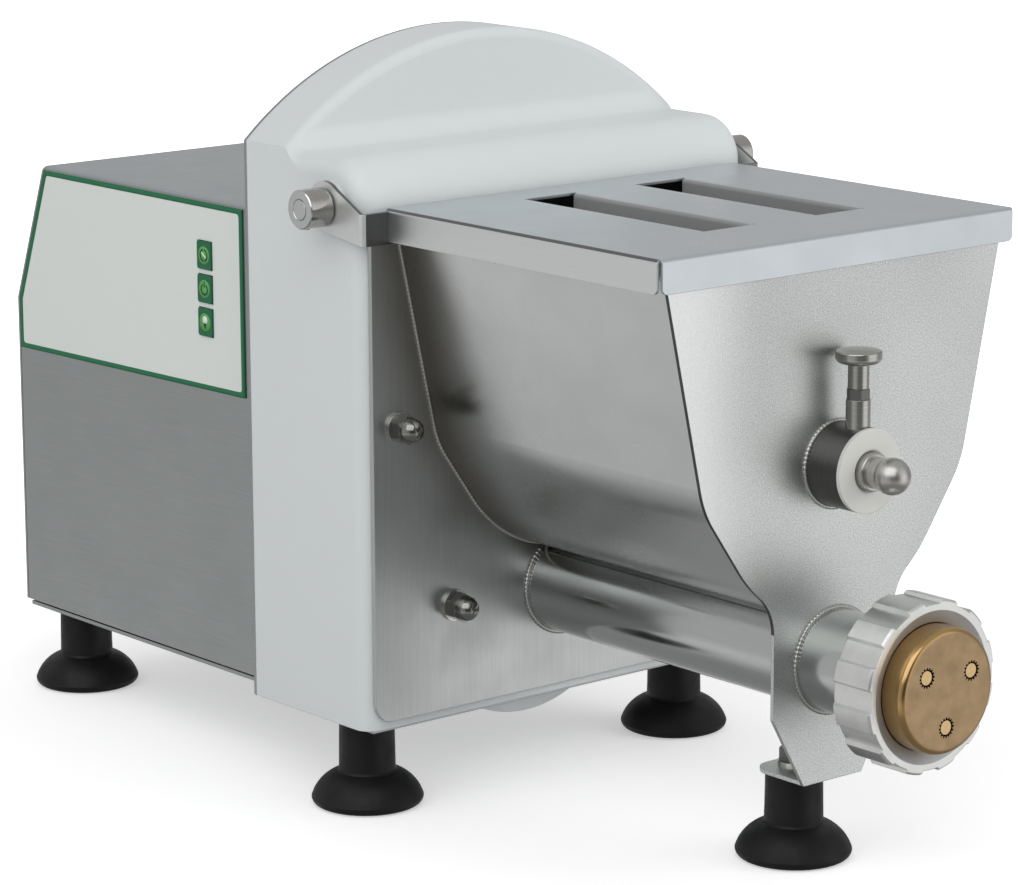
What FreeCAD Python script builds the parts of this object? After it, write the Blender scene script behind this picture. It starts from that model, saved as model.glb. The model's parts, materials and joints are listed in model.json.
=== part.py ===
import FreeCAD, Part
import math
import os
import Sketcher

# Electric pasta maker, millimetres. +Z up, the die faces -Y, the key panel is on -X.
# The origin is on the floor under the middle of the machine.

doc = FreeCAD.newDocument("pasta_maker")
sheet = doc.addObject("Spreadsheet::Sheet", "Sheet")

# Driving dimensions: alias, value, what it is
DIMENSIONS = [
    ("nose_reach", 74.9, "die face ahead of the front plate"),
    ("tub_length", 196.3, "front plate face to mounting plate face"),
    ("cover_depth", 96.6, "back of the gear cover behind the mounting plate face"),
    ("housing_length", 238.6, "back of the motor housing behind the gear cover"),
    ("axis_height", 103, "barrel axis above the floor"),
    ("shaft_rise", 95, "mixing shaft above the barrel axis"),
    ("foot_height", 44, "underside of the tab and base plate above the floor"),
    ("barrel_radius", 25, "outside of the extrusion barrel"),
    ("barrel_wall", 2.5, "barrel wall"),
    ("mouth_reach", 54, "barrel mouth ahead of the front plate"),
    ("feed_half_width", 12, "half width of the slot from tub to barrel"),
    ("collar_radius", 34, "outside of the threaded mouth collar"),
    ("collar_length", 12, "threaded mouth collar along the barrel"),
    ("nut_radius", 41.5, "ring nut over its lobes"),
    ("nut_length", 24, "ring nut along the barrel"),
    ("nut_lip", 5, "ring nut's inward lip, along the barrel"),
    ("nut_face_radius", 36.5, "flat band of the ring nut's front face, inner edge"),
    ("lobe_depth", 2, "ring nut lobes"),
    ("lobe_count", 12, "ring nut lobes"),
    ("die_radius", 30, "die boss"),
    ("die_round", 3, "die boss edge round"),
    ("die_flange", 5.5, "die flange thickness"),
    ("core_circle", 16.8, "die hole pattern radius"),
    ("core_count", 3, "die holes"),
    ("core_radius", 3.4, "turned core in each die hole"),
    ("hole_radius", 4.9, "die hole over its teeth"),
    ("hole_teeth", 16, "teeth round each die hole"),
    ("hub_radius", 20.2, "shaft hub on the front plate"),
    ("hub_reach", 20.35, "shaft hub ahead of the front plate"),
    ("bush_flange", 2, "white bush flange"),
    ("bush_radius", 12, "white bush sleeve, outside"),
    ("bush_chamfer", 1, "white bush, mouth of its bore"),
    ("pin_radius", 9.2, "locking pin journal"),
    ("pin_neck", 6.4, "locking pin neck"),
    ("pin_grip", 7.4, "locking pin between its collar and the ball"),
    ("pin_collar", 3.5, "locking pin collar ahead of the white bush"),
    ("ball_radius", 8.8, "ball grip of the locking pin"),
    ("ball_reach", 36.6, "ball centre ahead of the front plate"),
    ("plunger_reach", 13.7, "index plunger ahead of the front plate"),
    ("plunger_radius", 5.8, "index plunger body"),
    ("plunger_bore", 3.7, "index plunger body bore"),
    ("plunger_top", 231, "top of the index plunger body above the floor"),
    ("plunger_stem", 5, "knob stem radius"),
    ("plunger_flats", 9.6, "index plunger's hexagon, across flats"),
    ("knob_radius", 10.9, "mushroom knob"),
    ("knob_low", 248.1, "underside of the mushroom knob above the floor"),
    ("knob_side", 2.3, "straight side of the mushroom knob"),
    ("knob_round", 2.8, "round under the mushroom knob's side"),
    ("knob_crown", 1.6, "crown of the mushroom knob above its side"),
    ("rod_radius", 2.5, "index plunger rod"),
    ("spring_wire", 0.35, "plunger spring wire radius"),
    ("sheet_wall", 1.5, "lid sheet"),
    ("tub_wall", 2, "tub sheet"),
    ("plate_wall", 2, "front plate sheet"),
    ("mount_wall", 2.5, "mounting plate"),
    ("trough_radius", 75, "round bottom of the front plate"),
    ("plate_overhang", 1.5, "front plate edge outside the tub"),
    ("side_lean", 0.22, "widening of the upper sides per unit of height"),
    ("flank_lean", 0.7, "widening of the lower flanks per unit of height"),
    ("waist_half", 86.2, "half width of the front plate at the mixing shaft"),
    ("bend_radius", 50, "bend between flank and side"),
    ("tub_top", 304.5, "tub and front plate top above the floor"),
    ("stem_half", 39.3, "half width of the front plate's stem"),
    ("stem_fillet", 25, "round from trough to stem"),
    ("stem_low", 80, "lower end of the straight stem above the floor"),
    ("tab_half", 19, "half width of the foot tab"),
    ("tab_length", 36.4, "foot tab behind the front plate's face"),
    ("tab_round", 10, "rear corners of the foot tab"),
    ("front_foot_y", 26.4, "front foot behind the front plate"),
    ("mount_half", 121.9, "half width of the mounting plate"),
    ("mount_low", 50.3, "mounting plate bottom above the floor"),
    ("mount_top", 300, "mounting plate top above the floor"),
    ("mount_round", 10, "mounting plate lower corners"),
    ("high_nut_x", 106, "upper acorn nuts from the middle"),
    ("high_nut_z", 198.3, "upper acorn nuts above the floor"),
    ("low_nut_x", 72.1, "lower acorn nuts from the middle"),
    ("stud_radius", 4, "M8 stud"),
    ("nut_flats", 13, "M8 nut across flats"),
    ("nut_height", 6.5, "M8 nut hexagon height"),
    ("dome_radius", 6.1, "acorn nut dome"),
    ("washer_radius", 8, "M8 washer"),
    ("washer_wall", 1.6, "M8 washer thickness"),
    ("lid_half", 114.5, "half width of the lid"),
    ("lid_front", 3.2, "lid front ahead of the front plate"),
    ("lid_top", 307.7, "lid top above the floor"),
    ("lid_flange", 16.2, "lid flange depth"),
    ("lid_gap", 2.3, "lid behind edge to mounting plate"),
    ("lid_bend", 2.2, "outside radius of the lid's folds"),
    ("lid_relief", 1.9, "square relief at the lid's front corners"),
    ("flange_round", 3, "lower corners of the lid's flanges"),
    ("slot_start", 42, "lid slots' front end behind the front plate"),
    ("slot_end", 24.3, "lid slots' rear end ahead of the mounting plate"),
    ("slot_width", 28.8, "lid slot between its turned-down sides"),
    ("slot_spacing", 72, "lid slots, centre to centre"),
    ("slot_shift", 5.9, "lid slots' middle off the centre line"),
    ("slot_rim", 9, "turned-down slot sides, below the lid top"),
    ("slot_relief", 1.6, "gap at both ends of a turned-down slot side"),
    ("hinge_back", 25.7, "hinge axis behind the mounting plate face"),
    ("hinge_z", 306.8, "hinge axis above the floor"),
    ("arm_gap", 2, "hinge boss height between cover and lid arm"),
    ("arm_wall", 2, "lid arm sheet"),
    ("arm_radius", 12.5, "round end of the lid arm"),
    ("arm_low", 290.5, "lower edge of the lid arm's front end above the floor"),
    ("arm_bend", 2.6, "outside radius of the folds between arms and strip"),
    ("hinge_pin_radius", 4.8, "hinge pin"),
    ("hinge_collar_radius", 9.65, "hinge collar"),
    ("hinge_collar_length", 14, "hinge collar"),
    ("hinge_collar_gap", 0.9, "hinge collar to lid arm"),
    ("grub_radius", 1.5, "grub screw"),
    ("cover_half", 126.1, "half width of the gear cover"),
    ("cover_low", 46, "gear cover bottom above the floor"),
    ("cover_wall", 3, "gear cover wall"),
    ("cover_round", 9, "gear cover front edges"),
    ("arch_rise", 49, "top of the gear cover's arch above its shoulders"),
    ("arch_shoulder", 1.55, "shoulders of the arch above the shelf"),
    ("arch_step", 59.5, "arch face behind the mounting plate face"),
    ("arch_round", 5, "arch front rim round"),
    ("shelf_fillet", 11, "round between shelf and arch face"),
    ("back_wall", 2, "cover back plate"),
    ("frame_wall", 4, "inner frame plate"),
    ("housing_half", 108.4, "half width of the motor housing"),
    ("housing_top", 293.5, "motor housing top above the floor"),
    ("housing_round", 3, "long top edges of the motor housing"),
    ("housing_low", 47.3, "motor housing bottom above the floor"),
    ("housing_wall", 1.2, "motor housing sheet"),
    ("slope_rise", 75.5, "rear slope, its top above the knee"),
    ("slope_run", 28.8, "rear slope, its top ahead of the knee"),
    ("rear_wall", 1.5, "rear panel sheet"),
    ("panel_gap", 0.4, "motor housing to rear panel"),
    ("base_wall", 2, "base plate"),
    ("mid_foot_x", 103.9, "middle feet from the centre line"),
    ("mid_foot_y", 31.6, "middle feet behind the mounting plate face"),
    ("rear_foot_x", 86, "rear feet from the centre line"),
    ("rear_foot_y", 24.5, "rear feet ahead of the housing's back"),
    ("foot_radius", 28.4, "rubber foot base"),
    ("foot_neck", 14.4, "rubber foot neck"),
    ("foot_skirt", 17, "rubber foot skirt height"),
    ("stud_gap", 0.3, "stud clearance in plates"),
    ("fit_gap", 0.05, "radial running clearance of shafts and pins"),
    ("face_gap", 0.3, "gap between faces that slide past each other"),
    ("label_front", 27.1, "control label front edge behind the gear cover"),
    ("label_low_front", 98.1, "control label lower front corner below the housing top"),
    ("label_low_rear", 102.4, "control label lower rear corner below the housing top"),
    ("label_top", 4.5, "control label top edge below the housing top"),
    ("label_wall", 0.6, "control label"),
    ("key_y", 59.4, "push-button column behind the gear cover"),
    ("key_z", 29.5, "top push-button below the housing top"),
    ("key_pitch", 17.5, "push-button spacing"),
    ("key_width", 12.2, "push-button width"),
    ("key_height", 14.6, "push-button height"),
    ("key_rise", 0.9, "push-button above the label"),
    ("key_depth", 5, "push-button behind the label face"),
    ("gear_module", 2, "all gears"),
    ("auger_teeth", 64, "auger gear"),
    ("mixer_teeth", 31, "mixing gear"),
    ("pinion_teeth", 14, "layshaft pinion and motor pinion"),
    ("lay_teeth", 56, "layshaft gear"),
    ("gear_width", 16, "final gears"),
    ("lay_width", 9, "first stage gears"),
    ("backlash", 0.5, "tooth backlash at the pitch circle"),
    ("lay_offset", 55, "layshaft to the left of the barrel axis"),
    ("motor_rise", 26, "motor axis above the layshaft"),
    ("case_start", 30.7, "gear case front behind the mounting plate face"),
    ("case_wall", 4, "gear case wall"),
    ("case_radius", 74.5, "gear case round the auger gear"),
    ("case_depth", 26, "gear case chamber"),
    ("case_neck", 36, "gear case neck round the barrel axis"),
    ("mixer_neck", 24, "gear case neck round the mixing shaft"),
    ("stage_depth", 14, "first stage chamber"),
    ("drive_radius", 12, "auger drive shaft"),
    ("mixer_drive_radius", 9, "mixing drive shaft"),
    ("lay_shaft_radius", 7, "layshaft"),
    ("bearing_wall", 8, "bearing ring thickness"),
    ("bearing_width", 10, "bearing along its shaft"),
    ("seal_wall", 5, "lip seal ring thickness"),
    ("seal_width", 7, "lip seal along its shaft"),
    ("auger_radius", 22, "auger flight"),
    ("auger_core", 9, "auger core"),
    ("auger_pitch", 34, "auger flight pitch"),
    ("flight_wall", 4, "auger flight at its root"),
    ("mixer_radius", 11, "mixing shaft"),
    ("paddle_reach", 69, "mixing paddle tips from the shaft axis"),
    ("paddle_radius", 5, "mixing paddle bars"),
    ("paddle_pitch", 38, "mixing paddles along the shaft"),
    ("paddle_count", 4, "mixing paddles"),
    ("motor_radius", 62, "motor frame"),
    ("motor_length", 110, "motor frame"),
    ("motor_wall", 4, "motor frame wall"),
    ("bell_length", 10, "motor end bells"),
    ("rotor_radius", 32, "rotor"),
    ("core_length", 70, "rotor and stator core"),
    ("air_gap", 0.6, "rotor to stator"),
    ("motor_shaft_radius", 8, "motor shaft"),
    ("board_width", 70, "control board along the machine"),
    ("board_height", 84, "control board"),
    ("board_wall", 1.6, "control board"),
    ("gland_radius", 9, "cable gland nut"),
    ("gland_reach", 14, "cable gland behind the rear panel"),
    ("vent_count", 7, "rear vent slots"),
    ("vent_pitch", 9, "rear vent slots"),
    ("vent_length", 110, "rear vent slots"),
    ("vent_height", 4, "rear vent slots"),
    ("screw_inset", 12, "rear screws from the panel's edges"),
    ("tab_size", 16, "inner tabs for the rear screws"),
    ("screw_radius", 2, "M4 screws"),
    ("head_radius", 3.6, "M4 screw heads"),
    ("head_height", 2.4, "M4 screw heads"),
]


class Size:
    """A length that carries its value and the sheet formula that it comes from."""

    def __init__(self, value, formula):
        self.value = float(value)
        self.formula = formula

    def __add__(self, other):
        return joined(self, other, "+", number(self) + number(other))

    def __radd__(self, other):
        return joined(other, self, "+", number(self) + number(other))

    def __sub__(self, other):
        return joined(self, other, "-", number(self) - number(other))

    def __rsub__(self, other):
        return joined(other, self, "-", number(other) - number(self))

    def __mul__(self, other):
        return joined(self, other, "*", number(self) * number(other))

    def __rmul__(self, other):
        return joined(other, self, "*", number(self) * number(other))

    def __truediv__(self, other):
        return joined(self, other, "/", number(self) / number(other))

    def __neg__(self):
        return Size(-self.value, "(-1 * " + self.formula + ")")


def number(size):
    return size.value if isinstance(size, Size) else float(size)


def formula(size):
    return size.formula if isinstance(size, Size) else repr(float(size))


def joined(left, right, sign, value):
    return Size(value, "(" + formula(left) + " " + sign + " " + formula(right) + ")")


def root(size):
    return Size(math.sqrt(size.value), "sqrt(" + size.formula + ")")


def dome(radius, height):
    """Radius of a cap of the given rim radius and height."""
    return (radius * radius + height * height) / (2 * height)


class Dimensions:
    """The sheet's cells as Size values."""


dim = Dimensions()
for row, (alias, value, meaning) in enumerate(DIMENSIONS, start=1):
    sheet.set("A" + str(row), meaning)
    sheet.set("B" + str(row), str(value))
    sheet.setAlias("B" + str(row), alias)
    setattr(dim, alias, Size(value, "Sheet." + alias))
doc.recompute()


# Setting out: places that several pieces share

tail_reach = dim.tub_length + dim.cover_depth + dim.housing_length
front = (dim.nose_reach - tail_reach - dim.gland_reach) / 2
mount_y = front + dim.tub_length
cover_front = mount_y + dim.mount_wall
frame_y = cover_front + dim.cover_wall
cover_back = mount_y + dim.cover_depth
back_plate_y = cover_back - dim.back_wall
housing_back = cover_back + dim.housing_length
knee_z = dim.housing_top - dim.slope_rise
barrel_z = dim.axis_height
mixer_z = dim.axis_height + dim.shaft_rise
hinge_y = mount_y + dim.hinge_back
shelf_top = dim.hinge_z + hinge_y - cover_front
arch_radius = (dim.cover_half * dim.cover_half + dim.arch_rise * dim.arch_rise) / (2 * dim.arch_rise)
arch_centre = shelf_top + dim.arch_shoulder + dim.arch_rise - arch_radius
boss_x = dim.cover_half + dim.arm_gap
arm_x = boss_x + dim.face_gap
base_top = dim.foot_height + dim.base_wall
tab_top = dim.foot_height + dim.plate_wall

# Gear centres: the layshaft pinion runs on the auger gear, the motor pinion on the layshaft gear
auger_pitch_radius = dim.gear_module * dim.auger_teeth / 2
pinion_pitch_radius = dim.gear_module * dim.pinion_teeth / 2
lay_pitch_radius = dim.gear_module * dim.lay_teeth / 2
lay_centres = auger_pitch_radius + pinion_pitch_radius
lay_x = -dim.lay_offset
lay_z = barrel_z + root(lay_centres * lay_centres - dim.lay_offset * dim.lay_offset)
motor_centres = lay_pitch_radius + pinion_pitch_radius
motor_x = lay_x + root(motor_centres * motor_centres - dim.motor_rise * dim.motor_rise)
motor_z = lay_z + dim.motor_rise

case_y = mount_y + dim.case_start
chamber_y = case_y + dim.case_wall
chamber_end = chamber_y + dim.case_depth
stage_y = chamber_end + dim.case_wall
stage_end = stage_y + dim.stage_depth
motor_y = stage_end + dim.case_wall
gear_y = chamber_y + (dim.case_depth - dim.gear_width) / 2
lay_y = stage_y + (dim.stage_depth - dim.lay_width) / 2
motor_end = motor_y + 2 * dim.bell_length + dim.motor_length

nodes = []

FORWARD = FreeCAD.Rotation(FreeCAD.Vector(1, 0, 0), -90)
SIDEWAYS = FreeCAD.Rotation(FreeCAD.Vector(0, 1, 0), 90)
UPRIGHT = FreeCAD.Rotation()
TURNS = {"X": SIDEWAYS, "Y": FORWARD, "Z": UPRIGHT}


def bind(thing, property_name, size):
    """Tie one property to the sheet, or set it where it is a fixed number."""
    if isinstance(size, Size):
        thing.setExpression(property_name, size.formula)
    else:
        setattr(thing, property_name, size)


def place(thing, at, rotation=UPRIGHT):
    thing.Placement = FreeCAD.Placement(FreeCAD.Vector(*[number(value) for value in at]), rotation)
    for axis, value in zip("xyz", at):
        if isinstance(value, Size):
            thing.setExpression("Placement.Base." + axis, value.formula)
    return thing


def node(label, thing):
    """Name a finished sub-part; its file takes this name."""
    thing.Label = label
    nodes.append(thing)
    return thing


# Outlines and the bodies made from them

class Arc:
    """An arc to the next corner; side +1 bulges to the right of the way along, -1 to the left."""

    def __init__(self, radius, side):
        self.radius = radius
        self.side = side


def arc_between(start, end, arc):
    """The arc of a radius under half a turn, from one corner to the next."""
    radius = number(arc.radius)
    along = end - start
    half = along.Length / 2
    rise = math.sqrt(max(radius * radius - half * half, 0))
    inward = FreeCAD.Vector(-along.y, along.x, 0).normalize() * arc.side
    centre = start + along * 0.5 + inward * rise
    first = math.atan2(start.y - centre.y, start.x - centre.x)
    last = math.atan2(end.y - centre.y, end.x - centre.x)
    circle = Part.Circle(centre, FreeCAD.Vector(0, 0, 1), radius)
    if arc.side < 0:
        return Part.ArcOfCircle(circle, last, first), 2
    return Part.ArcOfCircle(circle, first, last), 1


def outline(body, plane_role, path):
    """A closed sketch. The path lists corners, with an Arc after a corner whose next run is round."""
    plane = next(item for item in body.Origin.OriginFeatures if item.Role == plane_role)
    sketch = body.newObject("Sketcher::SketchObject", body.Name + "_outline")
    sketch.AttachmentSupport = [(plane, "")]
    sketch.MapMode = "FlatFace"
    corners = []
    arcs = {}
    for item in path:
        if isinstance(item, Arc):
            arcs[len(corners) - 1] = item
        else:
            corners.append(item)
    spots = [FreeCAD.Vector(number(u), number(v), 0) for u, v in corners]
    starts = []
    for index, start in enumerate(spots):
        end = spots[(index + 1) % len(spots)]
        if index in arcs:
            edge, start_point = arc_between(start, end, arcs[index])
        else:
            edge, start_point = Part.LineSegment(start, end), 1
        sketch.addGeometry(edge)
        starts.append(start_point)
    for index in range(len(spots)):
        following = (index + 1) % len(spots)
        sketch.addConstraint(
            Sketcher.Constraint("Coincident", index, 3 - starts[index], following, starts[following]))
    for index, corner in enumerate(corners):
        for kind, size in zip(("DistanceX", "DistanceY"), corner):
            tie(sketch, Sketcher.Constraint(kind, -1, 1, index, starts[index], number(size)), size)
    for index, arc in arcs.items():
        tie(sketch, Sketcher.Constraint("Radius", index, number(arc.radius)), arc.radius)
    return sketch


def tie(sketch, constraint, size):
    row = sketch.addConstraint(constraint)
    if isinstance(size, Size):
        sketch.setExpression("Constraints[" + str(row) + "]", size.formula)


def turned(name, path, at=(0, 0, 0), axis="Y"):
    """A body of revolution. The path gives (radius, along), or (along, radius) about X."""
    body = doc.addObject("PartDesign::Body", name)
    plane_role = "XZ_Plane" if axis == "Z" else "XY_Plane"
    sketch = outline(body, plane_role, path)
    revolution = body.newObject("PartDesign::Revolution", name + "_turn")
    revolution.Profile = sketch
    revolution.ReferenceAxis = (sketch, ["H_Axis" if axis == "X" else "V_Axis"])
    revolution.Angle = 360
    body.Tip = revolution
    return place(body, at)


def ring(name, outer, inner, length, at, axis="Y"):
    """A plain turned ring; inner 0 makes a round bar."""
    if axis == "X":
        path = [(0, inner), (length, inner), (length, outer), (0, outer)]
    else:
        path = [(inner, 0), (outer, 0), (outer, length), (inner, length)]
    return turned(name, path, at, axis)


def slab(name, path, length, at=(0, 0, 0), axis="Y"):
    """A straight-sided body: the outline is (x, z) along Y, (y, z) along X or (x, y) along Z."""
    body = doc.addObject("PartDesign::Body", name)
    plane_role = {"X": "YZ_Plane", "Y": "XZ_Plane", "Z": "XY_Plane"}[axis]
    sketch = outline(body, plane_role, path)
    pad = body.newObject("PartDesign::Pad", name + "_pad")
    pad.Profile = sketch
    bind(pad, "Length", length)
    pad.Reversed = axis == "Y"
    body.Tip = pad
    return place(body, at)


def cylinder(name, radius, length, at, axis="Y"):
    thing = doc.addObject("Part::Cylinder", name)
    bind(thing, "Radius", radius)
    bind(thing, "Height", length)
    return place(thing, at, TURNS[axis])


def block(name, size, at):
    thing = doc.addObject("Part::Box", name)
    for property_name, value in zip(("Length", "Width", "Height"), size):
        bind(thing, property_name, value)
    return place(thing, at)


def fuse(name, things):
    thing = doc.addObject("Part::MultiFuse", name)
    thing.Shapes = things
    thing.Refine = True
    return thing


def cut(name, base, tools):
    thing = doc.addObject("Part::Cut", name)
    thing.Base = base
    thing.Tool = tools[0] if len(tools) == 1 else fuse(name + "_tools", tools)
    thing.Refine = True
    return thing


def group(name, things):
    """Identical loose pieces that share one node, each a solid of its own."""
    thing = doc.addObject("Part::Compound", name)
    thing.Links = things
    return thing


def mirrored(name, thing):
    copy = doc.addObject("Part::Mirroring", name)
    copy.Source = thing
    copy.Normal = FreeCAD.Vector(1, 0, 0)
    return copy


def rounded(name, thing, radius, wanted):
    """Fillet the edges of a thing whose centres the test accepts."""
    doc.recompute()
    fillet = doc.addObject("Part::Fillet", name)
    fillet.Base = thing
    picked = []
    for index, edge in enumerate(thing.Shape.Edges, start=1):
        if wanted(edge):
            picked.append((index, number(radius), number(radius)))
    fillet.Edges = picked
    return fillet


def near(value, size, tolerance=0.05):
    return abs(value - number(size)) < tolerance


# Tub, front plate and mounting plate share one trough outline

def trough(inset):
    """Half outline of the trough, inset from the front plate's edge: touch, bend and top corners."""
    side_step = inset * root(1 + dim.side_lean * dim.side_lean)
    flank_unit = root(1 + dim.flank_lean * dim.flank_lean)
    radius = dim.trough_radius - inset
    touch_x = radius / flank_unit
    touch_z = mixer_z - radius * dim.flank_lean / flank_unit
    waist = dim.waist_half - side_step
    bend_rise = (waist - touch_x + dim.flank_lean * (touch_z - mixer_z)) / (dim.flank_lean - dim.side_lean)
    bend_z = mixer_z + bend_rise
    bend_x = waist + dim.side_lean * bend_rise
    top_x = waist + dim.side_lean * (dim.tub_top - mixer_z)
    return radius, (touch_x, touch_z), (bend_x, bend_z), (top_x, dim.tub_top)


def flipped(corner):
    return (-corner[0], corner[1])


def is_bend(edge, corner):
    """A straight edge along Y that runs through the outline's bend corner."""
    middle = edge.CenterOfMass
    return near(abs(middle.x), corner[0]) and near(middle.z, corner[1]) and edge.Length > 1


def make_front_plate():
    radius, touch, bend, top = trough(0 * dim.plate_overhang)
    reach = radius + dim.stem_fillet
    fillet_x = dim.stem_half + dim.stem_fillet
    drop = root(reach * reach - fillet_x * fillet_x)
    stem_top = (dim.stem_half, mixer_z - drop)
    neck = (fillet_x * radius / reach, mixer_z - drop * radius / reach)
    stem_low = (dim.stem_half, dim.stem_low)
    tab_corner = (dim.tab_half, dim.foot_height)
    path = [
        tab_corner, stem_low, stem_top, Arc(dim.stem_fillet, -1), neck, Arc(radius, 1), touch, bend, top,
        flipped(top), flipped(bend), flipped(touch), Arc(radius, 1), flipped(neck),
        Arc(dim.stem_fillet, -1), flipped(stem_top), flipped(stem_low), flipped(tab_corner),
    ]
    plate = slab("PlateBlank", path, dim.plate_wall, (0, front, 0))
    bent = rounded("PlateBend", plate, dim.bend_radius, lambda edge: is_bend(edge, bend))
    tongue = block("TabTongue", (2 * dim.tab_half, dim.tab_length, dim.plate_wall),
                   (-dim.tab_half, front, dim.foot_height))
    tab_end = number(front + dim.tab_length)
    tab = rounded("TabCorners", tongue, dim.tab_round,
                  lambda edge: near(edge.CenterOfMass.y, tab_end) and near(edge.Length, dim.plate_wall))
    whole = fuse("PlateWithTab", [bent, tab])
    barrel_hole = cylinder("PlateBarrelHole", dim.barrel_radius + dim.fit_gap, dim.plate_wall * 3,
                           (0, front - dim.plate_wall, barrel_z))
    pin_hole = cylinder("PlatePinHole", dim.bush_radius, dim.plate_wall * 3,
                        (0, front - dim.plate_wall, mixer_z))
    stud_hole = cylinder("TabStudHole", dim.stud_radius + dim.stud_gap, dim.plate_wall * 3,
                         (0, front + dim.front_foot_y, dim.foot_height - dim.plate_wall), "Z")
    node("front_plate", cut("FrontPlate", whole, [barrel_hole, pin_hole, stud_hole]))


def make_tub():
    length = dim.tub_length - dim.plate_wall
    start = front + dim.plate_wall
    shells = []
    for name, inset in (("TubOutside", dim.plate_overhang), ("TubInside", dim.plate_overhang + dim.tub_wall)):
        radius, touch, bend, top = trough(inset)
        if shells:
            top = (top[0] + dim.side_lean * dim.tub_wall, top[1] + dim.tub_wall)
        path = [touch, bend, top, flipped(top), flipped(bend), flipped(touch), Arc(radius, 1)]
        blank = slab(name, path, length, (0, start, 0))
        bend_inset = number(bend[0])
        bend_height = number(bend[1])
        shells.append(rounded(
            name + "Bend", blank, dim.bend_radius - inset,
            lambda edge, x=bend_inset, z=bend_height: is_bend(edge, (x, z))))
    bore = cylinder("TubBarrelBore", dim.barrel_radius - dim.barrel_wall, length * 2,
                    (0, front - length / 2, barrel_z))
    slot = block("TubFeedSlot", (2 * dim.feed_half_width, dim.tub_length - dim.feed_half_width * 2,
                                 dim.barrel_radius * 2),
                 (-dim.feed_half_width, front + dim.feed_half_width, barrel_z))
    swing = dim.lid_gap + dim.arm_wall + dim.tub_wall * 2.5
    notch = block("TubRearNotch", (dim.cover_half * 2, swing, dim.lid_flange * 2),
                  (-dim.cover_half, mount_y - swing, dim.arm_low - dim.face_gap * 2))
    node("tub", cut("Tub", shells[0], [shells[1], bore, slot, notch]))


def make_mounting_plate():
    half = dim.mount_half
    blank = slab("MountBlank", [(-half, dim.mount_low), (half, dim.mount_low), (half, dim.mount_top),
                                (-half, dim.mount_top)], dim.mount_wall, (0, mount_y, 0))
    low = number(dim.mount_low)
    corners = rounded("MountCorners", blank, dim.mount_round,
                      lambda edge: near(edge.CenterOfMass.z, low) and near(edge.Length, dim.mount_wall))
    holes = plate_holes("Mount", mount_y - dim.mount_wall, dim.mount_wall * 3)
    holes.append(cylinder("MountAugerHole", dim.drive_radius + dim.seal_wall, dim.mount_wall * 3,
                          (0, mount_y - dim.mount_wall, barrel_z)))
    holes.append(cylinder("MountMixerHole", dim.mixer_drive_radius + dim.seal_wall, dim.mount_wall * 3,
                          (0, mount_y - dim.mount_wall, mixer_z)))
    node("mounting_plate", cut("MountingPlate", corners, holes))


def stud_places():
    """The four M8 studs that carry the tub."""
    return [(side * x, z) for side in (-1, 1)
            for x, z in ((dim.high_nut_x, dim.high_nut_z), (dim.low_nut_x, barrel_z))]


def plate_holes(name, start, length):
    """Clearance holes for the four studs."""
    return [cylinder(name + "StudHole" + str(index), dim.stud_radius + dim.stud_gap, length, (x, start, z))
            for index, (x, z) in enumerate(stud_places(), start=1)]


# Barrel, mouth collar, ring nut and die

def make_barrel():
    """Barrel with a thick threaded mouth, open at the top where the tub's trough sits on it."""
    bore = dim.barrel_radius - dim.barrel_wall
    length = dim.mouth_reach + dim.tub_length
    path = [(bore, 0), (dim.collar_radius, 0), (dim.collar_radius, dim.collar_length),
            (dim.barrel_radius, dim.collar_length), (dim.barrel_radius, length), (bore, length)]
    tube = turned("BarrelTube", path, (0, front - dim.mouth_reach, barrel_z))
    trough_seat = cylinder("BarrelTroughSeat", dim.trough_radius - dim.plate_overhang,
                           dim.tub_length - dim.plate_wall, (0, front + dim.plate_wall, mixer_z))
    node("extrusion_barrel", cut("ExtrusionBarrel", tube, [trough_seat]))


def make_ring_nut():
    """Ring nut: bore over the mouth collar, inward lip over the die flange, lobes round the outside."""
    bore = dim.collar_radius + dim.fit_gap
    lip_bore = dim.die_radius + dim.face_gap
    chamfer = dim.lobe_depth / 2
    lip_front = dim.mouth_reach + dim.die_flange + dim.nut_lip + dim.fit_gap
    edge = dim.nut_radius - chamfer
    path = [
        (bore, dim.nut_length), (edge, dim.nut_length), (dim.nut_radius, dim.nut_length - chamfer),
        (dim.nut_radius, chamfer), (edge, 0), (dim.nut_face_radius, 0),
        (lip_bore, dim.nut_lip - dim.lobe_depth), (lip_bore, dim.nut_lip), (bore, dim.nut_lip),
    ]
    blank = turned("NutBlank", path, (0, front - lip_front, barrel_z))
    doc.recompute()
    shape = blank.Shape.copy()
    count = int(number(dim.lobe_count))
    step = 360 / count
    inner = number(dim.nut_radius - dim.lobe_depth)
    outer = number(dim.nut_radius) + 1
    start = number(front - lip_front) - 1
    length = number(dim.nut_length) + 2
    centre = FreeCAD.Vector(0, start, number(barrel_z))
    for index in range(count):
        groove = groove_prism(inner, outer, 0.23 * step, 0.3 * step, length)
        groove.rotate(FreeCAD.Vector(0, 0, 0), FreeCAD.Vector(0, 1, 0), index * step)
        groove.translate(centre)
        shape = shape.cut(groove)
    lobed = doc.addObject("Part::Feature", "RingNut")
    lobed.Shape = shape.removeSplitter()
    node("ring_nut", lobed)


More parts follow.
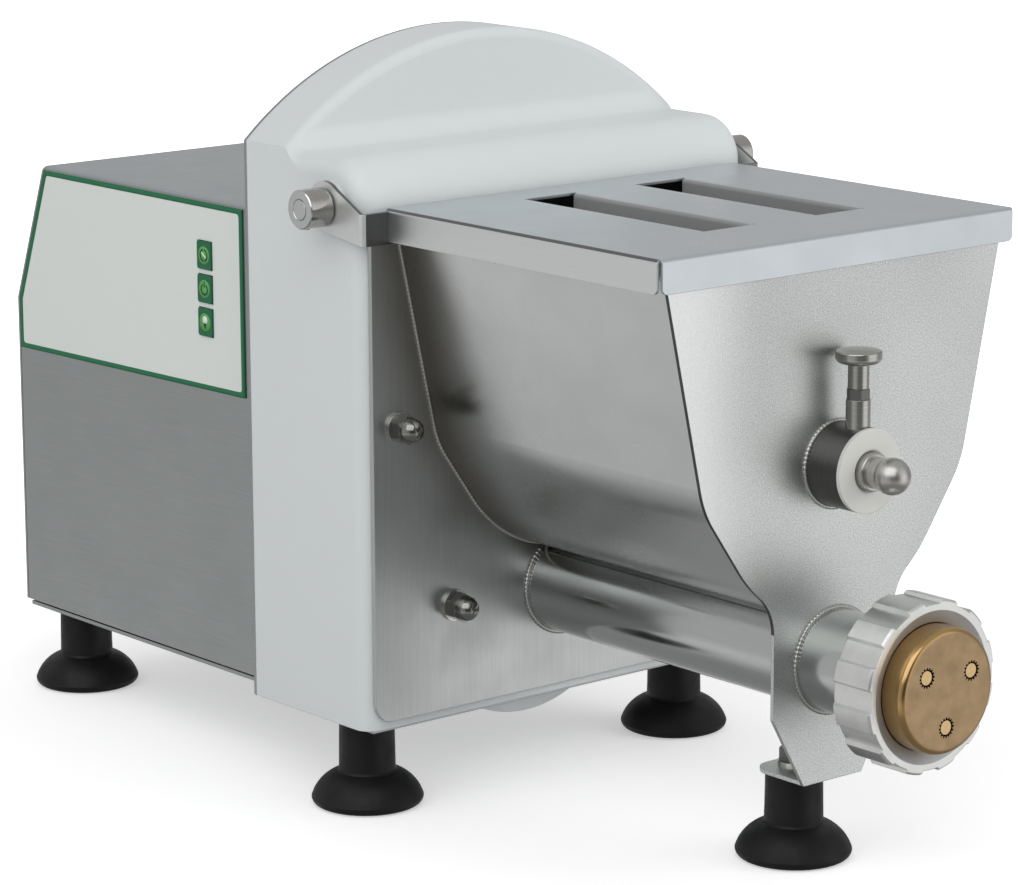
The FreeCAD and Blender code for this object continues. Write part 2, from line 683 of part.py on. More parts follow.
def groove_prism(inner, outer, inner_half, outer_half, length):
    """A prism along Y that cuts one recess between two lobes."""
    spots = []
    for radius, half in ((inner, -inner_half), (outer, -outer_half), (outer, outer_half), (inner, inner_half)):
        angle = math.radians(half)
        spots.append(FreeCAD.Vector(radius * math.cos(angle), 0, radius * math.sin(angle)))
    floor_spot = FreeCAD.Vector(inner, 0, 0)
    lines = [Part.makeLine(spots[0], spots[1]), Part.makeLine(spots[1], spots[2]),
             Part.makeLine(spots[2], spots[3]), Part.Arc(spots[3], floor_spot, spots[0]).toShape()]
    return Part.Face(Part.Wire(lines)).extrude(FreeCAD.Vector(0, length, 0))


def core_spots():
    """Centres of the die's holes, in x and z from the barrel axis."""
    count = int(number(dim.core_count))
    circle = number(dim.core_circle)
    angles = [math.radians(27 + 360 * index / count) for index in range(count)]
    return [(circle * math.cos(angle), circle * math.sin(angle)) for angle in angles]


def make_die():
    """Bronze die with toothed holes, a turned core in each hole held from behind."""
    flange_radius = dim.collar_radius - dim.face_gap
    face = dim.nose_reach - dim.mouth_reach
    path = [
        (0, 0), (dim.die_radius - dim.die_round, 0), Arc(dim.die_round, 1),
        (dim.die_radius, dim.die_round), (dim.die_radius, face - dim.die_flange),
        (flange_radius, face - dim.die_flange), (flange_radius, face), (0, face),
    ]
    blank = turned("DieBlank", path, (0, front - dim.nose_reach, barrel_z))
    doc.recompute()
    shape = blank.Shape.copy()
    pocket_radius = number(dim.hole_radius) + 2
    pocket_depth = number(dim.die_flange) * 1.5
    face_y = number(front - dim.nose_reach)
    back_y = number(front - dim.mouth_reach)
    axis = FreeCAD.Vector(0, 1, 0)
    cores = []
    for x, z in core_spots():
        centre = FreeCAD.Vector(x, face_y, number(barrel_z) + z)
        hole = toothed_prism(number(dim.hole_radius), int(number(dim.hole_teeth)), number(face) + 2)
        hole.translate(centre - axis)
        pocket = Part.makeCylinder(pocket_radius, pocket_depth, FreeCAD.Vector(x, back_y, centre.z), -axis)
        shape = shape.cut(hole).cut(pocket)
        cores.append(make_core(x, centre.z, face_y, back_y, pocket_radius, pocket_depth))
    die = doc.addObject("Part::Feature", "DieBody")
    die.Shape = shape
    node("die_body", die)
    cluster = doc.addObject("Part::Feature", "DieCores")
    cluster.Shape = Part.makeCompound(cores)
    node("die_cores", cluster)


def make_core(x, z, face_y, back_y, pocket_radius, pocket_depth):
    """Turned core: a pin to the die face on a disc with feed holes in the back pocket."""
    axis = FreeCAD.Vector(0, 1, 0)
    radius = number(dim.core_radius)
    disc_depth = pocket_depth / 2
    disc = Part.makeCylinder(pocket_radius, disc_depth, FreeCAD.Vector(x, back_y - pocket_depth, z), axis)
    pin_start = face_y + number(dim.face_gap)
    pin_length = back_y - pocket_depth + disc_depth - pin_start
    pin = Part.makeCylinder(radius, pin_length, FreeCAD.Vector(x, pin_start, z), axis)
    feed_circle = (radius + pocket_radius) / 2
    for index in range(6):
        angle = math.radians(60 * index)
        spot = FreeCAD.Vector(x + feed_circle * math.cos(angle), back_y - pocket_depth - 1,
                              z + feed_circle * math.sin(angle))
        disc = disc.cut(Part.makeCylinder(1.2, disc_depth + 2, spot, axis))
    return disc.fuse(pin).removeSplitter()


def toothed_prism(radius, teeth, length):
    """A prism along Y whose outline has small square-ended teeth pointing outwards."""
    root_radius = radius * 0.84
    step = 2 * math.pi / teeth
    spots = []
    for index in range(teeth):
        for share, reach in ((-0.28, root_radius), (-0.2, radius), (0.2, radius), (0.28, root_radius)):
            angle = (index + share) * step
            spots.append(FreeCAD.Vector(reach * math.cos(angle), 0, reach * math.sin(angle)))
    spots.append(spots[0])
    return Part.Face(Part.makePolygon(spots)).extrude(FreeCAD.Vector(0, length, 0))


# Mixing shaft bearing on the front plate: hub, white bush, locking pin and index plunger

def make_hub():
    bore = ring("HubBlank", dim.hub_radius, dim.bush_radius, dim.hub_reach,
                (0, front - dim.hub_reach, mixer_z))
    seat = cylinder("HubPlungerSeat", dim.plunger_radius, dim.hub_radius * 2,
                    (0, front - dim.plunger_reach, mixer_z), "Z")
    node("shaft_hub", cut("ShaftHub", bore, [seat]))
    inner = dim.pin_radius + dim.fit_gap
    bush_end = dim.hub_reach + dim.bush_flange + dim.plate_wall
    path = [
        (inner + dim.bush_chamfer, 0), (dim.hub_radius, 0), (dim.hub_radius, dim.bush_flange),
        (dim.bush_radius, dim.bush_flange), (dim.bush_radius, bush_end), (inner, bush_end),
        (inner, dim.bush_chamfer),
    ]
    bush = turned("BushBlank", path, (0, front - dim.hub_reach - dim.bush_flange, mixer_z))
    rod_hole = cylinder("BushRodHole", dim.rod_radius + dim.fit_gap, dim.hub_radius * 2,
                        (0, front - dim.plunger_reach, mixer_z), "Z")
    node("hub_bush", cut("HubBush", bush, [rod_hole]))


def make_locking_pin():
    """Ball-ended pin: the grip, a collar, the neck that the plunger drops into and the nose."""
    neck_half = dim.rod_radius + dim.face_gap
    neck_front = dim.ball_reach - dim.plunger_reach - neck_half
    neck_back = neck_front + 2 * neck_half + dim.pin_neck * 1.8
    nose = dim.ball_reach + dim.mixer_radius * 1.8
    waist = dim.pin_grip
    meet = root(dim.ball_radius * dim.ball_radius - waist * waist)
    collar = dim.ball_reach - dim.hub_reach - dim.bush_flange - dim.pin_collar
    edge = dim.bush_chamfer * 0.6
    path = [
        (0, -dim.ball_radius), Arc(dim.ball_radius, 1), (dim.ball_radius, 0), Arc(dim.ball_radius, 1),
        (waist, meet), (waist, collar), (dim.pin_radius - edge, collar), (dim.pin_radius, collar + edge),
        (dim.pin_radius, neck_front), (dim.pin_neck, neck_front), (dim.pin_neck, neck_back),
        (dim.pin_radius, neck_back), (dim.pin_radius, nose), (0, nose),
    ]
    node("locking_pin", turned("LockingPin", path, (0, front - dim.ball_reach, mixer_z)))


def make_plunger():
    """Index plunger: a screwed-in body, a sprung rod under a mushroom knob, and its spring."""
    y = front - dim.plunger_reach
    body_low = mixer_z + dim.bush_radius + dim.face_gap
    cap = dim.plunger_stem
    rod_bore = dim.rod_radius + dim.fit_gap
    path = [
        (dim.plunger_bore, body_low), (dim.plunger_radius, body_low), (dim.plunger_radius, dim.plunger_top),
        (rod_bore, dim.plunger_top), (rod_bore, dim.plunger_top - dim.plate_wall),
        (dim.plunger_bore, dim.plunger_top - dim.plate_wall),
    ]
    barrel = turned("PlungerBarrel", path, (0, y, 0), "Z")
    flat = dim.plunger_flats / 2
    corner = dim.plunger_flats / root(Size(3, "3"))
    six = [(corner, 0), (corner / 2, flat), (-corner / 2, flat), (-corner, 0), (-corner / 2, -flat),
           (corner / 2, -flat)]
    hexagon_cap = slab("PlungerHexagon", six, cap, (0, y, dim.plunger_top), "Z")
    cap_bore = cylinder("PlungerCapBore", rod_bore, cap * 3, (0, y, dim.plunger_top - dim.rod_radius), "Z")
    node("plunger_body", cut("PlungerBody", fuse("PlungerBlank", [barrel, hexagon_cap]), [cap_bore]))
    tip = mixer_z + dim.pin_neck + dim.face_gap
    shoulder = body_low + dim.rod_radius
    shoulder_radius = dim.plunger_bore - dim.fit_gap
    stem_low = dim.plunger_top + cap + dim.face_gap
    side_low = dim.knob_low + dim.knob_round
    side_high = side_low + dim.knob_side
    edge = dim.knob_crown / 2
    top_radius = dim.knob_radius - edge
    path = [
        (0, tip), (dim.rod_radius, tip), (dim.rod_radius, body_low + dim.face_gap),
        (shoulder_radius, body_low + dim.face_gap), (shoulder_radius, shoulder),
        (dim.rod_radius, shoulder), (dim.rod_radius, stem_low), (cap, stem_low),
        (cap, dim.knob_low - edge), (dim.knob_radius - dim.knob_round, dim.knob_low),
        Arc(dim.knob_round, 1), (dim.knob_radius, side_low), (dim.knob_radius, side_high),
        Arc(edge, 1), (top_radius, side_high + edge),
        Arc(dome(top_radius, edge), 1), (0, side_high + dim.knob_crown),
    ]
    node("plunger_knob", turned("PlungerKnob", path, (0, y, 0), "Z"))
    spring_radius = number(dim.plunger_bore - dim.spring_wire * 2) - 0.1
    wire = number(dim.spring_wire)
    low = number(shoulder) + wire + 0.05
    high = number(dim.plunger_top - dim.plate_wall) - wire - 0.05
    pitch = (high - low) / 5
    helix = Part.makeHelix(pitch, high - low, spring_radius)
    section = Part.Wire(Part.makeCircle(wire, FreeCAD.Vector(spring_radius, 0, 0), FreeCAD.Vector(0, 1, 0)))
    coil = Part.Wire(helix.Edges).makePipeShell([section], True, True)
    spring = doc.addObject("Part::Feature", "PlungerSpring")
    spring.Shape = coil
    place(spring, (0, number(y), low))
    node("plunger_spring", spring)


# Lid, its hinge arms, pins and collars

def make_lid():
    wall = dim.sheet_wall
    low = dim.lid_top - dim.lid_flange
    depth = dim.tub_length + dim.lid_front - dim.lid_gap
    start = front - dim.lid_front
    outside = block("LidOutside", (2 * dim.lid_half, depth, dim.lid_flange), (-dim.lid_half, start, low))
    inside = block("LidInside", (2 * (dim.lid_half - wall), depth, dim.lid_flange),
                   (wall - dim.lid_half, start + wall, low - wall))
    outside_round = rounded("LidOutsideFolds", outside, dim.lid_bend,
                            lambda edge: is_fold(edge, dim.lid_top, start + depth))
    inside_round = rounded("LidInsideFolds", inside, dim.lid_bend - wall,
                           lambda edge: is_fold(edge, dim.lid_top - wall, start + wall + depth))
    shell = cut("LidShell", outside_round, [inside_round])
    rims = []
    openings = []
    bend = dim.lid_bend
    half_slot = dim.slot_width / 2
    begin = front + dim.slot_start
    length = dim.tub_length - dim.slot_start - dim.slot_end
    for index, side in enumerate((-1, 1), start=1):
        middle = dim.slot_shift + side * dim.slot_spacing / 2
        openings.append(block("SlotOpening" + str(index), (2 * (half_slot + bend), length, wall * 3),
                              (middle - half_slot - bend, begin, dim.lid_top - wall * 2)))
        for part, sign in (("Left", -1), ("Right", 1)):
            rims.append(slot_side("Slot" + part + str(index), middle, sign, begin, length))
    relief = dim.lid_relief
    notches = [block("CornerNotch" + str(index), (relief, relief, dim.lid_flange * 3),
                     (x, start, low - dim.lid_flange))
               for index, x in enumerate((-dim.lid_half, dim.lid_half - relief), start=1)]
    notches.append(block("StripNotch", (2 * dim.lid_half, dim.arm_wall, dim.lid_flange - wall),
                         (-dim.lid_half, mount_y - dim.lid_gap - dim.arm_wall, low)))
    blank = cut("LidBlank", shell, openings + notches)
    corners = rounded("LidFlangeCorners", blank, dim.flange_round,
                      lambda edge: near(edge.CenterOfMass.z, low) and near(edge.Length, wall)
                      and edge.CenterOfMass.y < number(start + relief) + 0.05)
    node("lid_cover", fuse("LidCover", [corners] + rims))


def is_fold(edge, height, rear):
    """A long edge at a height, other than the rear one."""
    middle = edge.CenterOfMass
    return near(middle.z, height) and not near(middle.y, rear) and edge.Length > 1


def slot_side(name, middle, sign, begin, length):
    """One long side of a lid slot, folded down through a bend."""
    wall = dim.sheet_wall
    bend = dim.lid_bend
    face = middle + sign * dim.slot_width / 2
    back = face + sign * wall
    root_x = face + sign * bend
    low = dim.lid_top - dim.slot_rim
    path = [(face, low), (face, dim.lid_top - bend), Arc(bend, -sign), (root_x, dim.lid_top),
            (root_x, dim.lid_top - wall), Arc(bend - wall, sign), (back, dim.lid_top - bend), (back, low)]
    return slab(name, path, length - 2 * dim.slot_relief, (0, begin + dim.slot_relief, 0))


def make_lid_bracket():
    """Cross strip behind the lid with two arms that reach back to the hinge pins."""
    strip_y = mount_y - dim.lid_gap - dim.arm_wall
    strip_top = dim.lid_top - dim.sheet_wall
    outer_x = arm_x + dim.arm_wall
    strip = block("BracketStrip", (2 * outer_x, dim.arm_wall, strip_top - dim.arm_low),
                  (-outer_x, strip_y, dim.arm_low))
    low_y = hinge_y + dim.arm_wall
    low_z = dim.hinge_z - root(dim.arm_radius * dim.arm_radius - dim.arm_wall * dim.arm_wall)
    high_y = hinge_y - dim.arm_radius * 0.6
    high_z = dim.hinge_z + dim.arm_radius * 0.8
    path = [(strip_y, dim.arm_low), (low_y, low_z), Arc(dim.arm_radius, 1),
            (hinge_y + dim.arm_radius, dim.hinge_z), Arc(dim.arm_radius, 1), (high_y, high_z),
            (strip_y + dim.arm_wall, strip_top), (strip_y, strip_top)]
    arm = slab("BracketArm", path, dim.arm_wall, (arm_x, 0, 0), "X")
    plain = fuse("BracketBlank", [strip, arm, mirrored("BracketArmLeft", arm)])
    folded = rounded("BracketOuterFolds", plain, dim.arm_bend,
                     lambda edge: is_upright(edge, outer_x, strip_y))
    whole = rounded("BracketInnerFolds", folded, dim.arm_bend - dim.arm_wall,
                    lambda edge: is_upright(edge, arm_x, strip_y + dim.arm_wall))
    bore = cylinder("BracketBore", dim.hinge_pin_radius + dim.fit_gap, outer_x * 4,
                    (-2 * outer_x, hinge_y, dim.hinge_z), "X")
    node("lid_bracket", cut("LidBracket", whole, [bore]))


def is_upright(edge, x, y):
    """A vertical edge at a distance from the middle plane, at one place along the machine."""
    middle = edge.CenterOfMass
    return near(abs(middle.x), x) and near(middle.y, y) and edge.Length > 5


def make_hinge_hardware():
    outer_x = arm_x + dim.arm_wall
    pin_start = dim.cover_half - dim.cover_wall - dim.arm_wall
    pin_end = outer_x + dim.hinge_collar_gap + dim.hinge_collar_length
    head = dim.hinge_pin_radius * 1.6
    path = [
        (pin_start - dim.arm_wall, 0), (pin_end, 0), (pin_end, dim.hinge_pin_radius),
        (pin_start + dim.arm_wall, dim.hinge_pin_radius), (pin_start + dim.arm_wall, head),
        (pin_start - dim.arm_wall, head),
    ]
    pin = turned("HingePin", path, (0, hinge_y, dim.hinge_z), "X")
    node("hinge_pins", group("HingePins", [pin, mirrored("HingePinLeft", pin)]))
    chamfer = dim.face_gap * 2
    collar_x = outer_x + dim.hinge_collar_gap
    edge = dim.hinge_collar_radius - chamfer
    path = [
        (0, dim.hinge_pin_radius), (dim.hinge_collar_length - chamfer, dim.hinge_pin_radius),
        (dim.hinge_collar_length, dim.hinge_pin_radius + chamfer),
        (dim.hinge_collar_length, edge), (dim.hinge_collar_length - chamfer, dim.hinge_collar_radius),
        (chamfer, dim.hinge_collar_radius), (0, edge),
    ]
    blank = turned("CollarBlank", path, (collar_x, hinge_y, dim.hinge_z), "X")
    grub_x = collar_x + dim.hinge_collar_length * 0.7
    grub_low = dim.hinge_z - dim.hinge_collar_radius - dim.face_gap
    grub_length = dim.hinge_collar_radius - dim.hinge_pin_radius + dim.face_gap
    grub_hole = cylinder("GrubHole", dim.grub_radius, dim.hinge_collar_radius * 2,
                         (grub_x, hinge_y, dim.hinge_z - dim.hinge_collar_radius * 2), "Z")
    collar = cut("HingeCollar", blank, [grub_hole])
    node("hinge_collars", group("HingeCollars", [collar, mirrored("HingeCollarLeft", collar)]))
    grub = cylinder("GrubScrew", dim.grub_radius, grub_length, (grub_x, hinge_y, grub_low), "Z")
    node("grub_screws", group("GrubScrews", [grub, mirrored("GrubScrewLeft", grub)]))


# Gear cover: a front box with a round top edge about the hinge, and an arch behind it

def cover_solid(name, inset, behind, below):
    """The cover's outside for inset 0, its hollow for an inset of one wall."""
    half = dim.cover_half - inset
    radius = arch_radius - inset
    low = dim.cover_low - below
    start = cover_front + inset
    shelf_radius = hinge_y - cover_front - inset
    shelf_z = dim.hinge_z + shelf_radius
    spring_z = arch_centre + root(radius * radius - half * half)
    end = back_plate_y + behind
    arch_y = mount_y + dim.arch_step + inset
    arch = slab(name + "Arch", [(-half, low), (half, low), (half, spring_z), Arc(radius, 1),
                                (-half, spring_z)], end - arch_y, (0, arch_y, 0))
    box = slab(name + "Box", [(start, low), (arch_y + dim.arch_round, low),
                              (arch_y + dim.arch_round, shelf_z), (hinge_y, shelf_z),
                              Arc(shelf_radius, 1), (start, dim.hinge_z)], 2 * half, (-half, 0, 0), "X")
    edge_round = dim.cover_round - inset
    shelf_height = number(shelf_z)
    seam = number(arch_y + dim.arch_round)
    box_round = rounded(name + "BoxRound", box, edge_round,
                        lambda edge: near(abs(edge.CenterOfMass.x), half) and edge.CenterOfMass.y < seam - 1
                        and edge.CenterOfMass.z > number(low) + 1)
    arch_face = number(arch_y)
    arch_rim = rounded(name + "ArchRound", arch, dim.arch_round - inset,
                       lambda edge: near(edge.CenterOfMass.y, arch_face)
                       and edge.CenterOfMass.z > shelf_height)
    whole = fuse(name, [box_round, arch_rim])
    return rounded(name + "Crease", whole, dim.shelf_fillet + inset,
                   lambda edge: near(edge.CenterOfMass.y, arch_face) and near(edge.CenterOfMass.z, shelf_height)
                   and edge.Length > half.value)


def make_cover():
    outside = cover_solid("CoverOutside", 0 * dim.cover_wall, 0 * dim.cover_wall, 0 * dim.cover_wall)
    hollow = cover_solid("CoverHollow", dim.cover_wall, dim.cover_wall, dim.cover_wall)
    boss = cylinder("CoverBoss", dim.arm_radius + dim.face_gap, 2 * boss_x,
                    (-boss_x, hinge_y, dim.hinge_z), "X")
    shell = cut("CoverShell", fuse("CoverWithBosses", [outside, boss]), [hollow])
    holes = plate_holes("Cover", cover_front - dim.cover_wall, dim.cover_wall * 3)
    holes.append(cylinder("CoverAugerHole", dim.case_neck + dim.face_gap, dim.cover_wall * 3,
                          (0, cover_front - dim.cover_wall, barrel_z)))
    holes.append(cylinder("CoverMixerHole", dim.mixer_neck + dim.face_gap, dim.cover_wall * 3,
                          (0, cover_front - dim.cover_wall, mixer_z)))
    holes.append(cylinder("CoverHingeHole", dim.hinge_pin_radius, 4 * boss_x,
                          (-2 * boss_x, hinge_y, dim.hinge_z), "X"))
    node("gear_cover", cut("GearCover", shell, holes))


def make_back_plate():
    """Steel plate that closes the cover behind and carries the housing."""
    half = dim.cover_half
    spring_z = shelf_top + dim.arch_shoulder
    blank = slab("BackPlateBlank", [(-half, base_top), (half, base_top), (half, spring_z),
                                    Arc(arch_radius, 1), (-half, spring_z)],
                 dim.back_wall, (0, back_plate_y, 0))
    rim = dim.housing_half - dim.cover_wall * 4
    opening = block("BackPlateOpening", (2 * rim, dim.back_wall * 3, dim.housing_top - base_top - 24),
                    (-rim, back_plate_y - dim.back_wall, base_top + 12))
    node("cover_back_plate", cut("CoverBackPlate", blank, [opening]))


def make_inner_frame():
    """Steel plate behind the cover's front wall: it holds the studs and the gear case."""
    half = dim.mount_half - dim.cover_wall * 3
    blank = slab("FrameBlank", [(-half, base_top), (half, base_top), (half, dim.mount_top - 20),
                                (-half, dim.mount_top - 20)], dim.frame_wall, (0, frame_y, 0))
    start = frame_y - dim.frame_wall
    holes = [cylinder("FrameAugerHole", dim.case_neck, dim.frame_wall * 3, (0, start, barrel_z)),
             cylinder("FrameMixerHole", dim.mixer_neck, dim.frame_wall * 3, (0, start, mixer_z))]
    for index, (x, z) in enumerate(stud_places(), start=1):
        holes.append(cylinder("FrameStudHole" + str(index), dim.stud_radius, dim.frame_wall * 3, (x, start, z)))
    node("inner_frame", cut("InnerFrame", blank, holes))


# Hexagon hardware

def hexagon(name, flats, height, at, axis="Y"):
    """A hexagonal prism with a flat pair facing sideways, centred on a point."""
    half = flats / 2
    corner = flats / root(Size(3, "3"))
    path = [(half, corner / 2), (0, corner), (-half, corner / 2), (-half, -corner / 2), (0, -corner),
            (half, -corner / 2)]
    return slab(name, path, height, at, axis)


def make_studs():
    washers = []
    nuts = []
    studs = []
    for index, (x, z) in enumerate(stud_places(), start=1):
        tag = str(index)
        start = mount_y - dim.washer_wall
        washers.append(ring("PlateWasher" + tag, dim.washer_radius, dim.stud_radius + dim.fit_gap,
                            dim.washer_wall, (x, start, z)))
        hex_start = start - dim.nut_height
        body = hexagon("AcornHex" + tag, dim.nut_flats, dim.nut_height, (x, hex_start, z))
        dome = dim.dome_radius
        cap = turned("AcornDome" + tag,
                     [(0, -dome * 1.3), Arc(dome, 1), (dome, -dome * 0.3), (dome, dome / 2), (0, dome / 2)],
                     (x, hex_start, z))
        bore = cylinder("AcornBore" + tag, dim.stud_radius, dim.nut_height + dome,
                        (x, hex_start - dome * 0.4, z))
        nuts.append(cut("AcornNut" + tag, fuse("AcornBlank" + tag, [body, cap]), [bore]))
        stud_start = hex_start - dome * 0.2
        studs.append(ring("PlateStud" + tag, dim.stud_radius, 0,
                          frame_y + dim.frame_wall - stud_start, (x, stud_start, z)))
    node("acorn_nuts", group("AcornNuts", nuts))
    node("plate_studs", group("PlateStuds", studs))
    return washers


# Five feet, each a rubber foot on a stud with washer and nut

def foot_places():
    places = [(Size(0, "0"), front + dim.front_foot_y, tab_top)]
    for x, y in ((dim.mid_foot_x, mount_y + dim.mid_foot_y), (dim.rear_foot_x, housing_back - dim.rear_foot_y)):
        places.append((x, y, base_top))
        places.append((-x, y, base_top))
    return places


def make_feet(washers):
    rubbers = []
    studs = []
    nuts = []
    skirt = dim.foot_skirt
    for index, (x, y, top) in enumerate(foot_places(), start=1):
        tag = str(index)
        bore = dim.stud_radius
        bury = dim.foot_height / 2
        hem = skirt * 0.22
        path = [
            (0, 0), (dim.foot_radius - hem * 0.8, 0), Arc(hem, 1), (dim.foot_radius, hem),
            Arc(dim.foot_radius * 0.72, 1), (dim.foot_neck + 0.6, skirt), (dim.foot_neck, skirt + 1),
            (dim.foot_neck - 0.4, dim.foot_height), (bore, dim.foot_height), (bore, bury), (0, bury),
        ]
        rubbers.append(turned("RubberFoot" + tag, path, (x, y, 0), "Z"))
        nut_low = top + dim.washer_wall
        stud_end = nut_low + dim.nut_height * 2
        studs.append(ring("FootStud" + tag, dim.stud_radius, 0, stud_end - bury, (x, y, bury), "Z"))
        washers.append(ring("FootWasher" + tag, dim.washer_radius, dim.stud_radius + dim.fit_gap,
                            dim.washer_wall, (x, y, top), "Z"))
        blank = hexagon("FootNutBlank" + tag, dim.nut_flats, dim.nut_height, (x, y, nut_low), "Z")
        bore_tool = cylinder("FootNutBore" + tag, dim.stud_radius, dim.nut_height * 3,
                             (x, y, nut_low - dim.nut_height), "Z")
        nuts.append(cut("FootNut" + tag, blank, [bore_tool]))
    node("rubber_feet", group("RubberFeet", rubbers))
    node("foot_studs", group("FootStuds", studs))
    node("washers", group("Washers", washers))
    node("foot_nuts", group("FootNuts", nuts))


# Motor housing, rear panel and base plate

def housing_profile(inset, back_inset):
    """Side view of the housing: straight front, top, rear slope down to the knee and straight rear."""
    top = dim.housing_top - inset
    back = housing_back - back_inset
    return [(cover_back, dim.housing_low), (back, dim.housing_low), (back, knee_z),
            (back - dim.slope_run, top), (cover_back, top)]


def make_housing():
    back = dim.rear_wall
    wall = dim.housing_wall
    none = 0 * wall
    half = dim.housing_half
    inset = back + dim.panel_gap
    block_outside = slab("HousingOutside", housing_profile(none, inset), 2 * half, (-half, 0, 0), "X")
    block_hollow = slab("HousingHollow", housing_profile(wall, inset), 2 * (half - wall), (wall - half, 0, 0),
                        "X")
    outside = rounded("HousingOutsideFolds", block_outside, dim.housing_round,
                      lambda edge: is_top_side(edge, half, dim.housing_top))
    hollow = rounded("HousingHollowFolds", block_hollow, dim.housing_round - wall,
                     lambda edge: is_top_side(edge, half - wall, dim.housing_top - wall))
    holes = [key_block("HousingKeyHole" + str(index), z, dim.face_gap, -half - wall, wall * 4)
             for index, z in enumerate(key_heights(), start=1)]
    tabs = []
    for index, (x, z) in enumerate(rear_screw_places(), start=1):
        width = half - wall - dim.screw_inset + dim.tab_size / 2
        left = half - wall - width if number(x) > 0 else wall - half
        tabs.append(block("RearTab" + str(index), (width, back, dim.tab_size),
                          (left, housing_back - 2 * back, z - dim.tab_size / 2)))
        holes.append(cylinder("RearTabHole" + str(index), dim.screw_radius, back * 4,
                              (x, housing_back - back * 3, z)))
    shell = cut("HousingShell", outside, [hollow])
    node("motor_housing", cut("MotorHousing", fuse("HousingWithTabs", [shell] + tabs), holes))


def is_top_side(edge, half, top):
    """An edge where a side meets the top."""
    return near(abs(edge.CenterOfMass.x), half) and near(edge.CenterOfMass.z, top)


def make_rear_panel():
    """Bent rear panel: straight below the knee, sloping above, with vent slots and a gland hole."""
    wall = dim.rear_wall
    half = dim.housing_half
    back = housing_back
    top = dim.housing_top
    top_y = back - dim.slope_run
    path = [(back - wall, dim.housing_low), (back, dim.housing_low), (back, knee_z), (top_y, top),
            (top_y - wall, top), (back - wall, knee_z)]
    square = slab("RearPanelSquare", path, 2 * half, (-half, 0, 0), "X")
    blank = rounded("RearPanelCorners", square, dim.housing_round,
                    lambda edge: is_top_side(edge, half, top) and near(edge.Length, wall))
    openings = []
    for index in range(int(number(dim.vent_count))):
        z = knee_z - 20 - index * dim.vent_pitch
        openings.append(block("VentSlot" + str(index + 1), (dim.vent_length, wall * 3, dim.vent_height),
                              (-dim.vent_length / 2, back - wall * 2, z)))
    openings.append(cylinder("GlandHole", dim.gland_radius * 0.7, wall * 3,
                             (half * 0.6, back - wall * 2, gland_z())))
    for index, (x, z) in enumerate(rear_screw_places(), start=1):
        openings.append(cylinder("RearScrewHole" + str(index), dim.screw_radius, wall * 3,
                                 (x, back - wall * 2, z)))
    node("rear_panel", cut("RearPanel", blank, openings))


def gland_z():
    return dim.housing_low + 28


def rear_screw_places():
    return [(side * (dim.housing_half - dim.screw_inset), z) for side in (-1, 1)
            for z in (dim.housing_low + dim.screw_inset, knee_z - dim.screw_inset)]


def make_rear_hardware():
    screws = []
    for index, (x, z) in enumerate(rear_screw_places(), start=1):
        shank = dim.rear_wall * 5
        path = [(0, -shank), (dim.screw_radius, -shank), (dim.screw_radius, 0), (dim.head_radius, 0),
                (dim.head_radius, dim.head_height / 2),
                Arc(dome(dim.head_radius, dim.head_height / 2), 1), (0, dim.head_height)]
        screws.append(turned("RearScrew" + str(index), path, (x, housing_back, z)))
    node("rear_screws", group("RearScrews", screws))
    bore = dim.gland_radius * 0.45
    body = dim.gland_radius * 0.7
    step = dim.gland_reach / 3
    path = [(bore, -2 * step), (body, -2 * step), (body, 0), (dim.gland_radius, 0),
            (dim.gland_radius, step), (body, 2 * step), (body, dim.gland_reach), (bore, dim.gland_reach)]
    node("cable_gland", turned("CableGland", path, (dim.housing_half * 0.6, housing_back, gland_z())))


def make_base_plate():
    half = dim.housing_half - dim.housing_wall
    wide = dim.cover_half - dim.cover_wall * 2
    end = housing_back - dim.rear_wall * 2
    rear = block("BaseRear", (2 * half, end - frame_y, dim.base_wall), (-half, frame_y, dim.foot_height))
    broad = block("BaseBroad", (2 * wide, cover_back - frame_y, dim.base_wall),
                  (-wide, frame_y, dim.foot_height))
    blank = fuse("BaseBlank", [rear, broad])
    gear_hole = block("BaseGearHole", (2 * dim.case_radius, dim.cover_depth - dim.case_start,
                                       dim.base_wall * 3),
                      (-dim.case_radius, case_y - dim.case_wall, dim.foot_height - dim.base_wall))
    holes = [gear_hole]
    for index, (x, y, top) in enumerate(foot_places()[1:], start=1):
        holes.append(cylinder("BaseFootHole" + str(index), dim.stud_radius + dim.stud_gap,
                              dim.base_wall * 3, (x, y, dim.foot_height - dim.base_wall), "Z"))
    node("base_plate", cut("BasePlate", blank, holes))


# Control label, push-buttons and what they work on

def key_heights():
    return [dim.housing_top - dim.key_z - index * dim.key_pitch for index in range(3)]


def key_y():
    return cover_back + dim.key_y


def key_block(name, z, grow, x, length):
    """A block in the shape of a push-button, grown all round, from x inwards."""
    y = key_y()
    return block(name, (length, dim.key_width + 2 * grow, dim.key_height + 2 * grow),
                 (x, y - dim.key_width / 2 - grow, z - dim.key_height / 2 - grow))


